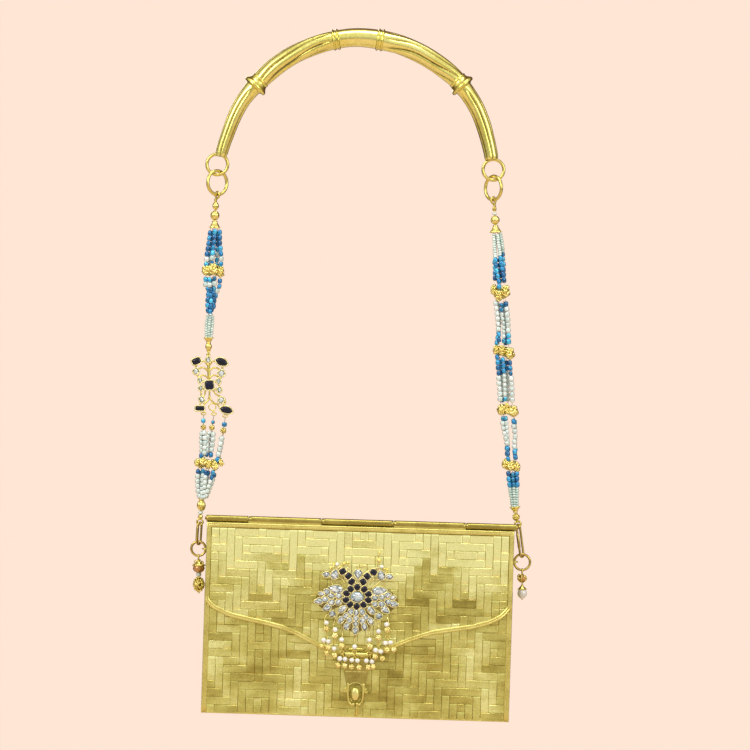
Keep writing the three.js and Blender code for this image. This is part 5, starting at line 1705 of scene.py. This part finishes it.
def knuckle(B, x0, x1):
    x0, x1 = x0 + 0.24, x1 - 0.24
    r = 2.24
    prof = [(0, 1.0), (0, r - 0.25), (0.25, r)]
    for k in range(1, 24):
        prof.append((0.25 + (x1 - x0 - 0.5) * k / 24.0, r))
    prof += [(x1 - x0 - 0.25, r), (x1 - x0, r - 0.25), (x1 - x0, 1.0)]
    axis = CW(1, 0, 0) - CW(0, 0, 0)
    lathe(B, CW(x0, -14.86, 64.9), axis, prof, 36, 0, 0.04, loop=True)


for body, ids in (("case", (0, 2, 4)), ("flap", (1, 3))):
    B = Build()
    for k in ids:
        knuckle(B, KNUCKLES[k], KNUCKLES[k + 1])
    B.make(body + "_knuckles", [M["trim"]], body)
B = Build()
for x in (-101.75, 103.35):
    ball(B, CW(x, -14.7, 64.9), 0.98, 16, 10, 0, 0.15, CW(1, 0, 0) - CW(0, 0, 0), 0.6)
B.make("hinge_pin_ends", [M["antique"]], "case")

# ------------------------------------------------------------------ lining
def lining_wall(B, place, u0, u1, w0, w1, nu, nw, channel=27.0, thick=0.72, puff=0.55, hole=None):
    """A satin wall, sewn in channels: flat at the seams, slightly full between them."""
    def h_at(u, w):
        f = ((u - u0) / channel) % 1.0
        e = min((u - u0), (u1 - u), (w - w0), (w1 - w))
        k = min(max(e / 5.0, 0.0), 1.0)
        g = (math.sin(math.pi * f) ** 0.6) * k
        ripple = 0.10 * math.sin(w * 0.55 + 2.0 * math.sin(u * 0.11)) * (1 - abs(2 * f - 1)) * k
        return thick + puff * g + ripple
    idx = {}
    verts = []
    for side in (0, 1):
        for i in range(nu + 1):
            for j in range(nw + 1):
                u, w = u0 + (u1 - u0) * i / nu, w0 + (w1 - w0) * j / nw
                idx[side, i, j] = len(verts)
                verts.append(place(u, w, 0.0 if side == 0 else h_at(u, w)))
    faces = []
    for i in range(nu):
        for j in range(nw):
            faces.append([idx[0, i, j], idx[0, i, j + 1], idx[0, i + 1, j + 1], idx[0, i + 1, j]])
            faces.append([idx[1, i, j], idx[1, i + 1, j], idx[1, i + 1, j + 1], idx[1, i, j + 1]])
    for i in range(nu):
        faces.append([idx[0, i, 0], idx[0, i + 1, 0], idx[1, i + 1, 0], idx[1, i, 0]])
        faces.append([idx[0, i, nw], idx[1, i, nw], idx[1, i + 1, nw], idx[0, i + 1, nw]])
    for j in range(nw):
        faces.append([idx[0, 0, j], idx[1, 0, j], idx[1, 0, j + 1], idx[0, 0, j + 1]])
        faces.append([idx[0, nu, j], idx[0, nu, j + 1], idx[1, nu, j + 1], idx[1, nu, j]])
    B.add(verts, faces, 0, 0.5, True)


B = Build()
lining_wall(B, lambda u, w, h: CW(u, 14.75 - h, w), -99.2, 99.2, -61.1, 61.1, 88, 40)
lining_wall(B, lambda u, w, h: CW(u, -13.05 + h, w), -99.2, 99.2, -61.1, 21.6, 88, 28)
lining_wall(B, lambda u, w, h: CW(u, w, -61.15 + h), -99.2, 99.2, -12.2, 13.9, 88, 10)
lining_wall(B, lambda u, w, h: CW(u, w, 61.15 - h), -99.2, 99.2, -12.2, 13.9, 88, 10)
for s in (-1, 1):
    lining_wall(B, lambda u, w, h, s=s: CW(s * (99.3 - h), u, w), -12.2, 13.9, -60.3, 60.3, 10, 40)
lining_piece = B.make("lining_satin", [M["satin"]], "case", ("lining",))


# ------------------------------------------------------------------ clasp
X_AXIS = CW(1, 0, 0) - CW(0, 0, 0)
Y_AXIS = np.array([0.0, 1.0, 0.0])


def slab(B, outline, y0, y1, bevel=0.22, mat=0, tone=0.55, place=CW):
    """A flat plate with bevelled front edges, from an outline of (x, z) pairs. y1 is the front."""
    n = len(outline)
    P = [np.array(p, float) for p in outline]
    area = sum(P[i][0] * P[(i + 1) % n][1] - P[(i + 1) % n][0] * P[i][1] for i in range(n)) / 2
    sgn = 1.0 if area > 0 else -1.0
    inset = []
    for i in range(n):
        d0, d1 = unit(P[i] - P[i - 1]), unit(P[(i + 1) % n] - P[i])
        n0, n1 = np.array([-d0[1], d0[0]]) * sgn, np.array([-d1[1], d1[0]]) * sgn
        s = unit(n0 + n1)
        inset.append(P[i] + s * bevel / max(float(np.dot(s, n0)), 0.5))
    verts = [place(p[0], y0, p[1]) for p in P] + [place(p[0], y1 + bevel, p[1]) for p in P] + [place(p[0], y1, p[1]) for p in inset]
    faces = [list(range(n))]
    smooth = [False]
    for b in (0, n):
        for i in range(n):
            j = (i + 1) % n
            faces.append([b + i, b + j, b + n + j, b + n + i])
            smooth.append(b == n)
    faces.append([2 * n + i for i in range(n)][::-1])
    smooth.append(False)
    B.add(verts, faces, mat, tone, smooth)


def curl(B, cx, cz, y, R, r, turns, start, hand=1, mat=0, tone=0.55, steps=30):
    """A flat spiral of wire."""
    pts = []
    for k in range(steps + 1):
        f = k / steps
        t = start + hand * 2 * math.pi * turns * f
        rad = R * (1 - 0.78 * f)
        pts.append(CW(cx + rad * math.cos(t), y, cz + rad * math.sin(t)))
    tube(B, pts, r, 8, mat=mat, tone=tone, plane=Y_AXIS, round_ends=True)


B = Build()
for x0, x1 in ((-8.0, -1.15), (-0.75, 7.6)):
    n = 14
    prof = [(0, 0.72), (0, 1.72), (0.2, 1.92), (0.7, 1.94), (0.9, 1.86)]
    prof += [(0.9 + (x1 - x0 - 1.8) * k / n, 1.86) for k in range(1, n)]
    prof += [(x1 - x0 - 0.9, 1.86), (x1 - x0 - 0.7, 1.94), (x1 - x0 - 0.2, 1.92), (x1 - x0, 1.72), (x1 - x0, 0.72)]
    lathe(B, CW(x0, -19.0, -21.6), X_AXIS, prof, 28, 0, 0.6, loop=True)
left = [(-7.7, -22.6), (-7.85, -28.0), (-7.9, -33.0), (-7.2, -36.6), (-6.5, -39.6), (-6.0, -42.2), (-5.4, -44.2), (-4.1, -44.0)]
arch = [(4.05 * math.cos(t), -43.6 + 3.2 * math.sin(t)) for t in np.linspace(math.pi, 0, 15)]
right = [(4.1, -44.0), (5.4, -44.2), (6.0, -42.2), (6.4, -39.6), (7.0, -36.6), (7.5, -33.0), (7.5, -28.0), (7.35, -22.6)]
slab(B, left + [(x, z) for x, z in arch[1:-1]] + right, -17.35, -18.35, 0.25, 0, 0.14)
for x0, x1, z in ((-7.2, 7.0, -24.6), (-7.3, 7.1, -32.6)):
    tube(B, [CW(x, -18.3, z) for x in np.linspace(x0, x1, 14)], 0.28, 8, mat=0, tone=0.7, round_ends=True)
rim = [CW(-4.9, -17.95, -40.2)] + [CW(4.75 * math.cos(t), -18.0, -43.6 + 3.8 * math.sin(t)) for t in np.linspace(math.pi * 0.97, math.pi * 0.03, 19)] + [CW(4.9, -17.95, -40.2)]
tube(B, rim[1:-1], 0.42, 8, mat=0, tone=0.75, plane=Y_AXIS, round_ends=True)
for s in (-1, 1):
    pts = [CW(s * 5.0, -17.9, -41.0), CW(s * 5.0, -17.9, -45.5), CW(s * 4.7, -17.9, -49.5), CW(s * 3.9, -17.9, -52.8), CW(s * 2.5, -17.9, -54.4), CW(s * 1.25, -17.9, -54.2)]
    path = smooth_path(pts, 0.5)
    tube(B, path, [1.08 - 0.40 * k / (len(path) - 1) for k in range(len(path))], 12, mat=0, tone=0.6, plane=Y_AXIS, round_ends=True)
    ball(B, CW(s * 1.2, -17.95, -53.9 if s < 0 else -53.6), 1.02, 16, 10, 0, 0.7)
    curl(B, s * 6.95, -45.4, -17.9, 1.25, 0.42, 1.25, math.pi / 2, s)
    tube(B, smooth_path([CW(s * 5.3, -17.9, -42.2), CW(s * 6.2, -17.9, -43.4), CW(s * 6.95, -17.9, -44.1)], 0.4), 0.42, 8, mat=0, plane=Y_AXIS, round_ends=True)
    curl(B, s * 2.9, -50.9, -18.2, 0.9, 0.3, 1.0, -math.pi / 2, -s)
B.make("hasp_loop", [M["trim"]], "hasp", ("hasp",))

B = Build()
ball(B, CW(-0.4, -17.6, -18.0), 1.3, 22, 14, 0, 0.6, X_AXIS, 4.9)
for s, xe in ((-1, -8.05), (1, 7.65)):
    x = xe + s * 0.45
    ball(B, CW(x + s * 0.1, -19.0, -21.6), 1.35, 16, 10, 0, 0.7, X_AXIS, 0.55)
    curl(B, x + s * 1.2, -17.6, -17.35, 1.2, 0.36, 1.2, -math.pi / 2 + s * 0.4, s)
slab(B, [(-8.6, -15.5), (-8.6, -19.2), (8.2, -19.2), (8.2, -15.5)], -16.9, -17.55, 0.2)
B.make("bracket_dome", [M["trim"]], "flap")

B = Build()
lathe(B, CW(-0.2, -14.6, -47.0), (0, -1, 0), [(0, 0), (0, 2.0), (1.0, 2.0), (1.6, 1.25), (3.2, 1.15), (3.9, 1.3), (4.4, 1.9), (5.0, 2.2), (5.9, 2.27), (6.7, 1.95), (7.15, 1.2), (7.3, 0)], 28, 0, 0.75, (2.0, 1.16))
B.make("stud_knob", [M["trim"]], "case", ("clasp_stud",))
B = Build()
tube(B, [CW(1.1, -15.6, z) for z in np.linspace(-55.6, -60.6, 8)], 0.85, 12, mat=0, tone=0.5, round_ends=True)
for dx in (-1.15, 1.15):
    tube(B, [CW(1.1 + dx, -15.2, z) for z in np.linspace(-56.2, -60.2, 7)], 0.42, 8, mat=0, tone=0.6, round_ends=True)
slab(B, [(-0.5, -55.9), (-0.5, -60.5), (2.7, -60.5), (2.7, -55.9)], -14.5, -15.1, 0.15, 0, 0.3)
B.make("hasp_rest", [M["ring"]], "case")

# ------------------------------------------------------------------ brooch
BROOCH = [M["bezel"], M["clear"], M["dark"], M["pearl"], M["bead"], M["centre"]]
GIRDLE = -19.35


def jewel(B, u, v, a, b, rot=0.0, kind="drop", mat=1, h=0.95, rb=0.33, y=GIRDLE, style="cut", tone_=0.55, back=2.3, n=10):
    x, z = CLD(u, v, y)
    k = 1.2 if mat == 1 else 1.0
    gem(B, CW, x, z, y, a * k, b * k, rot, kind, h, mat, style, rb, back, tone_, n)


def aim(u, v, cu=357.1, cv=597.3):
    """Angle that points away from the centre, degrees."""
    return math.degrees(math.atan2(cv - v, u - cu))


def px_path(pts, y, step_=0.5):
    return smooth_path([CW(*(lambda q: (q[0], y, q[1]))(CLD(u, v, y))) for u, v in pts], step_)


B = Build()
CU, CV = 357.1, 597.3
for u, v in ((357.2, 587.5), (364.3, 589.6), (368.3, 594.4), (368.3, 600.4), (363.4, 604.9), (356.7, 606.6), (350.0, 604.8), (346.0, 600.2), (346.5, 593.6), (350.6, 589.4)):
    jewel(B, u, v, 2.28, 2.06, aim(u, v), "round", 2, 1.0, 0.28, GIRDLE - 0.1, "dome", 0.45)
# setting of the centre stone
cx, cz = CLD(CU, CV, GIRDLE)
torus(B, CW(cx, GIRDLE - 0.25, cz), Y_AXIS, 1.0, 0.36, 44, 10, 0, 0.6, (4.75, 3.85))
lathe(B, CW(cx, -17.2, cz), (0, -1, 0), [(0, 0), (0, 8.4), (0.9, 8.5), (1.7, 8.0), (2.0, 5.6), (2.2, 4.3), (2.2, 0)], 40, 0, 0.2)
# necks: three dark stones each between two gold strips
for pts, stones_ in (([(353.6, 588.4), (351.2, 581.6), (347.8, 575.8), (342.6, 571.6), (336.6, 570.6)], [(351.6, 581.9, 64), (348.5, 576.2, 52), (342.7, 571.6, 24)]),
                     ([(360.8, 588.4), (363.6, 582.0), (367.6, 576.4), (373.2, 572.3), (379.4, 571.2)], [(363.2, 582.0, 116), (367.3, 576.6, 130), (373.6, 572.6, 158)])):
    path = px_path(pts, GIRDLE + 0.1)
    for off in (-1, 1):
        line = []
        for i, p in enumerate(path):
            d = unit(path[min(i + 1, len(path) - 1)] - path[max(i - 1, 0)])
            side = np.cross(d, Y_AXIS)
            line.append(p + side * off * (2.35 - 0.3 * i / len(path)))
        tube(B, line, 0.36, 8, mat=0, tone=0.92, plane=Y_AXIS, round_ends=True)
    tube(B, path, 1.0, 10, mat=0, tone=0.35, plane=Y_AXIS, section=lambda i, t: (0.75 * math.cos(t) + 0.5, 2.0 * math.sin(t)))
    for u, v, rot in stones_:
        jewel(B, u, v, 2.2, 1.95, rot, "sq", 2, 0.95, 0.26, GIRDLE - 0.1, "dome", 0.45)
# heads, beaks, crest
jewel(B, 334.8, 574.4, 2.7, 1.95, 72, "drop")
jewel(B, 381.2, 575.4, 2.7, 1.95, 108, "drop")
jewel(B, 326.4, 574.8, 2.15, 1.45, 178, "leaf", y=GIRDLE + 0.1)
jewel(B, 389.4, 576.9, 2.15, 1.45, -8, "leaf", y=GIRDLE + 0.1)
jewel(B, 358.1, 574.5, 2.6, 1.95, -90, "drop")
for pts in ([(331.6, 577.0), (331.2, 581.4), (332.6, 586.0)], [(384.2, 578.8), (384.4, 583.0), (382.2, 588.0)],
            [(332.0, 571.2), (332.6, 567.6), (335.6, 564.8)], [(337.6, 570.6), (339.2, 566.6), (343.4, 564.4)], [(345.6, 570.0), (349.0, 566.6), (347.0, 563.4)],
            [(378.2, 571.6), (377.4, 566.0), (378.8, 561.6)], [(382.6, 572.0), (382.4, 568.6), (381.8, 566.6)], [(385.2, 573.6), (386.8, 571.8), (387.4, 570.2)], [(379.0, 560.0), (378.4, 556.4), (379.6, 553.6)],
            [(354.8, 583.4), (356.2, 579.6), (357.6, 579.0)], [(360.6, 583.6), (359.6, 580.0), (358.4, 579.0)], [(369.5, 569.0), (366.0, 566.2), (360.6, 567.2)], [(358.2, 570.4), (358.0, 567.6), (356.0, 566.0)]):
    tube(B, px_path(pts, GIRDLE + 0.35, 0.4), 0.42, 8, mat=0, tone=0.6, plane=Y_AXIS, round_ends=True)
for u, v, r, m_ in ((337.1, 564.4, 1.25, 3), (344.2, 563.8, 1.15, 4), (330.6, 568.2, 0.9, 4), (348.2, 562.9, 0.85, 4), (379.0, 560.7, 1.45, 4), (381.8, 566.8, 1.25, 3), (387.3, 570.0, 1.0, 4),
                    (379.6, 553.0, 0.75, 4), (340.4, 567.2, 0.8, 4), (384.6, 569.2, 0.8, 4), (334.0, 564.8, 0.8, 4)):
    x, z = CLD(u, v, GIRDLE)
    ball(B, CW(x, GIRDLE + 0.1, z), r, 16, 10, m_, 0.6)
# wings
for u, v, a, b, rot in ((335.4, 589.4, 4.1, 2.2, 170), (326.9, 592.2, 1.9, 1.5, 150), (321.4, 594.0, 1.75, 1.15, 165), (331.2, 596.1, 1.8, 1.45, 175), (338.7, 596.1, 1.85, 1.5, 170),
                        (324.9, 599.8, 2.0, 1.45, 185), (318.3, 601.5, 2.35, 1.5, 190), (331.4, 602.7, 2.0, 1.5, 195), (338.3, 602.5, 1.75, 1.4, 200), (326.7, 608.2, 2.5, 1.5, 212),
                        (379.6, 591.4, 4.1, 2.2, 8), (387.7, 595.5, 1.9, 1.5, 25), (392.6, 597.8, 1.75, 1.15, 15), (382.1, 597.4, 1.8, 1.45, 5), (375.0, 598.2, 1.85, 1.5, 8),
                        (388.4, 602.5, 2.0, 1.45, -6), (394.4, 604.4, 2.35, 1.5, -10), (381.7, 604.6, 2.0, 1.5, -16), (375.0, 604.7, 1.75, 1.4, -22), (385.6, 610.5, 2.5, 1.5, -34)):
    jewel(B, u, v, a, b, rot, "drop" if a > 2.2 else "round", 1, 0.95, 0.31, GIRDLE + 0.05)
for u, v, a, b, kind in ((332.4, 614.2, 1.75, 1.75, "round"), (342.3, 609.5, 2.75, 1.5, "leaf"), (371.3, 610.8, 2.75, 1.5, "leaf"), (379.0, 616.4, 1.75, 1.75, "round")):
    jewel(B, u, v, a, b, aim(u, v), kind, 1, 0.95, 0.31)
for u, v, a, b in ((350.6, 612.2, 2.0, 1.45), (356.2, 613.0, 1.9, 1.45), (362.2, 612.4, 2.0, 1.45), (345.8, 616.4, 1.8, 1.4), (340.8, 620.2, 2.2, 1.5), (355.9, 618.7, 1.7, 1.4),
                   (365.8, 617.6, 1.8, 1.4), (370.6, 621.4, 2.2, 1.5), (349.4, 620.6, 1.9, 1.45), (362.4, 621.2, 1.9, 1.45), (346.6, 626.6, 2.1, 1.5), (355.6, 624.1, 1.7, 1.4),
                   (364.4, 627.2, 2.1, 1.5), (355.3, 630.6, 2.2, 1.6)):
    jewel(B, u, v, a, b, aim(u, v), "round", 1, 0.9, 0.30, GIRDLE + 0.05)
# open gold sheet behind the stones
for pts in ([(345.2, 590.5), (336.5, 585.2), (327.0, 587.2), (319.0, 592.0), (315.6, 599.0), (319.0, 606.0), (326.0, 611.0), (334.0, 609.0), (341.0, 606.0), (346.5, 602.6)],
            [(369.2, 591.5), (378.5, 587.2), (387.0, 589.4), (394.5, 595.0), (398.0, 602.5), (394.0, 609.0), (387.0, 613.8), (379.0, 611.0), (373.0, 607.2), (367.5, 603.4)],
            [(346.5, 605.5), (339.6, 612.5), (337.6, 619.0), (341.5, 626.0), (349.0, 630.4), (355.2, 634.2), (361.5, 630.8), (369.4, 627.4), (373.6, 621.0), (372.2, 613.8), (366.5, 606.2), (356.8, 608.0)]):
    outline = [CLD(u, v, -18) for u, v in pts]
    P = []
    m_ = len(outline)
    for i in range(m_):
        a_, b_, c_, d_ = (np.array(outline[(i + k) % m_]) for k in (-1, 0, 1, 2))
        for t in (0, 1 / 3, 2 / 3):
            P.append(tuple(0.5 * (2 * b_ + (c_ - a_) * t + (2 * a_ - 5 * b_ + 4 * c_ - d_) * t * t + (3 * b_ - a_ - 3 * c_ + d_) * t ** 3)))
    slab(B, P, -17.25, -18.0, 0.2, 0, 0.12)
for pts in ([(341.4, 585.6), (336.4, 582.0), (333.2, 579.2)], [(373.4, 587.0), (378.0, 583.6), (381.2, 580.6)], [(344.8, 583.6), (341.0, 578.4), (337.0, 577.4)], [(370.2, 584.4), (373.8, 579.6), (378.4, 578.8)]):
    tube(B, px_path(pts, GIRDLE + 0.7, 0.4), 0.4, 8, mat=0, tone=0.5, plane=Y_AXIS, round_ends=True)
# hanging loops for the dangles, on the frame's lower edge
PIVOTS = [(-21.529, -377.433), (-15.847, -382.053), (-10.173, -388.323), (-2.014, -393.273), (7.662, -388.980), (13.821, -383.368), (20.046, -378.746)]
for x, z in PIVOTS:
    z -= 0.4
    torus(B, (x, -19.5, z + 0.1), (1, 0, 0), 1.4, 0.28, 24, 8, 0, 0.6)
for pts, k in (([(332.4, 616.0), (328.0, 614.6), (325.4, 616.6)], 0), ([(335.6, 618.6), (334.4, 621.0), (334.0, 622.6)], 1), ([(341.0, 624.0), (341.6, 628.0), (342.4, 631.6)], 2), ([(355.2, 633.4), (355.0, 637.0), (355.0, 639.4)], 3),
               ([(370.4, 625.0), (369.6, 629.0), (369.2, 632.6)], 4), ([(375.8, 620.4), (377.6, 622.6), (378.6, 624.8)], 5), ([(381.2, 616.8), (385.0, 615.6), (387.6, 617.2)], 6)):
    x, z = PIVOTS[k]
    a = px_path(pts, -18.6, 0.5)
    tube(B, a[:-1] + [np.array([x, -18.8, z + 1.3])], 0.42, 8, mat=0, tone=0.5, round_ends=True)
B.make("brooch_jewels", BROOCH, "flap", ("brooch_frame",))

B = Build()
gem(B, CW, cx, cz, GIRDLE - 0.35, 4.45, 3.6, 0, "round", 1.6, 5, "cut", 0.0, 0.6, 0.5, 14)
B.make("centre_stone_cut", BROOCH, "flap", ("centre_stone",))

# ------------------------------------------------------------------ dangles
DY = -20.7


def PXD(u, v, y):
    """Layout units to a point in mm at depth y, as seen from the camera."""
    f = 0.66 * (2400.0 + y) / 2400.0
    return np.array([11.22 + (u - 375) * f, y, -216.81 + (375 - v) * f])


DANGLES = [
    [("p", 326.4, 623.8), ("g", 326.4, 629.6), ("fork", 326.4, 634.6), ("p", 323.6, 640.2), ("p", 328.4, 641.4), ("g", 327.8, 647.2), ("g", 321.6, 646.4), ("g", 326.6, 653.2)],
    [("p", 335.2, 630.6), ("g", 335.0, 636.6), ("loop", 334.0, 642.4), ("p", 334.2, 648.6), ("g", 334.3, 655.4)],
    [("p", 341.6, 640.6), ("g", 341.6, 646.8), ("loop", 342.0, 652.6), ("p", 339.8, 658.6), ("p", 345.0, 659.2), ("g", 337.8, 665.2), ("g", 344.6, 665.8)],
    [("p", 354.6, 647.6), ("loop", 354.6, 652.4), ("fork", 354.6, 655.8), ("p", 351.8, 660.2), ("p", 357.4, 660.6), ("g", 351.6, 667.0), ("g", 359.2, 667.4)],
    [("p", 369.4, 641.0), ("g", 369.8, 647.2), ("loop", 369.4, 653.8), ("p", 366.4, 660.8), ("p", 372.0, 661.6), ("g", 368.2, 667.4), ("g", 373.0, 666.8)],
    [("p", 378.6, 632.4), ("g", 378.4, 638.6), ("loop", 378.2, 644.6), ("p", 375.6, 650.2), ("p", 380.8, 651.6), ("g", 375.2, 656.8), ("g", 382.2, 658.6)],
    [("p", 386.6, 625.4), ("g", 387.4, 631.0), ("loop", 387.6, 637.2), ("p", 385.4, 643.0), ("p", 390.6, 642.6), ("g", 386.9, 650.0), ("g", 393.8, 649.6)],
]
PEARL_R, GOLD_R = 1.68, 1.98
for k, beads in enumerate(DANGLES):
    rr = random.Random(70 + k)
    x, z = PIVOTS[k]
    z -= 0.4
    B = Build()
    torus(B, (x, DY - 0.1, z - 0.78), (0, 1, 0), 0.8, 0.24, 20, 8, 2, 0.6)
    stem = [np.array([x, DY, z - 1.5])]
    pend = []
    split = None
    for j, (kind, u, v) in enumerate(beads):
        p = PXD(u, v - (0.9 if split is None and kind in "pg" else 0.0), DY)
        after = [q for q in beads[j + 1:] if abs(q[2] - v) < 1.2 and q[0] == kind]
        before = [q for q in beads[:j] if abs(q[2] - v) < 1.2 and q[0] == kind]
        if kind == "loop":
            torus(B, p + np.array([0, 0, 0.3]), (0, 1, 0), 1.15, 0.28, 18, 7, 2, 0.6, (0.75, 1.25))
            split = p
            stem.append(p)
        elif kind == "fork":
            split = p
            stem.append(p)
        elif split is None:
            stem.append(p)
        else:
            pend.append(p)
        if kind == "p":
            q = p + np.array([0, rr.uniform(-0.12, 0.12), 0])
            ball(B, q, PEARL_R * rr.uniform(0.93, 1.03), 20, 14, 0, rr.uniform(0.4, 0.7), (0.1, 0.1, 1), rr.uniform(0.92, 1.02))
            for s in (-1, 1):
                torus(B, q + np.array([0, 0, s * PEARL_R * 0.93]), (0, 0, 1), 0.52, 0.2, 12, 6, 2, 0.6)
        elif kind == "g":
            gr = GOLD_R * (1.1 if split is None else 1.0)
            granule_bead(B, p, (rr.uniform(-0.1, 0.1), 0, 1), gr, gr * 0.95, 1, rr.uniform(0.45, 0.65), 30, 0.36, 100 + 10 * k + j)
            ball(B, p + np.array([0, 0, -GOLD_R * 1.05]), 0.42, 8, 6, 2, 0.6)
    wire(B, [s_ for s_ in stem], 0.26, 2, 0.5)
    if split is not None and pend:
        lefts = sorted([p for p in pend if p[0] <= split[0]], key=lambda p: -p[2])
        rights = sorted([p for p in pend if p[0] > split[0]], key=lambda p: -p[2])
        for group in (lefts, rights):
            if group:
                wire(B, [split + np.array([0, 0, -0.4])] + group, 0.24, 2, 0.5)
    B.make("dangle_%d_pearls" % (k + 1), [M["pearl"], M["pale"], M["ring"]], "dangle_%d" % (k + 1), ("dangle_%d" % (k + 1),))


# ------------------------------------------------------------------ sizes
low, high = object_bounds()
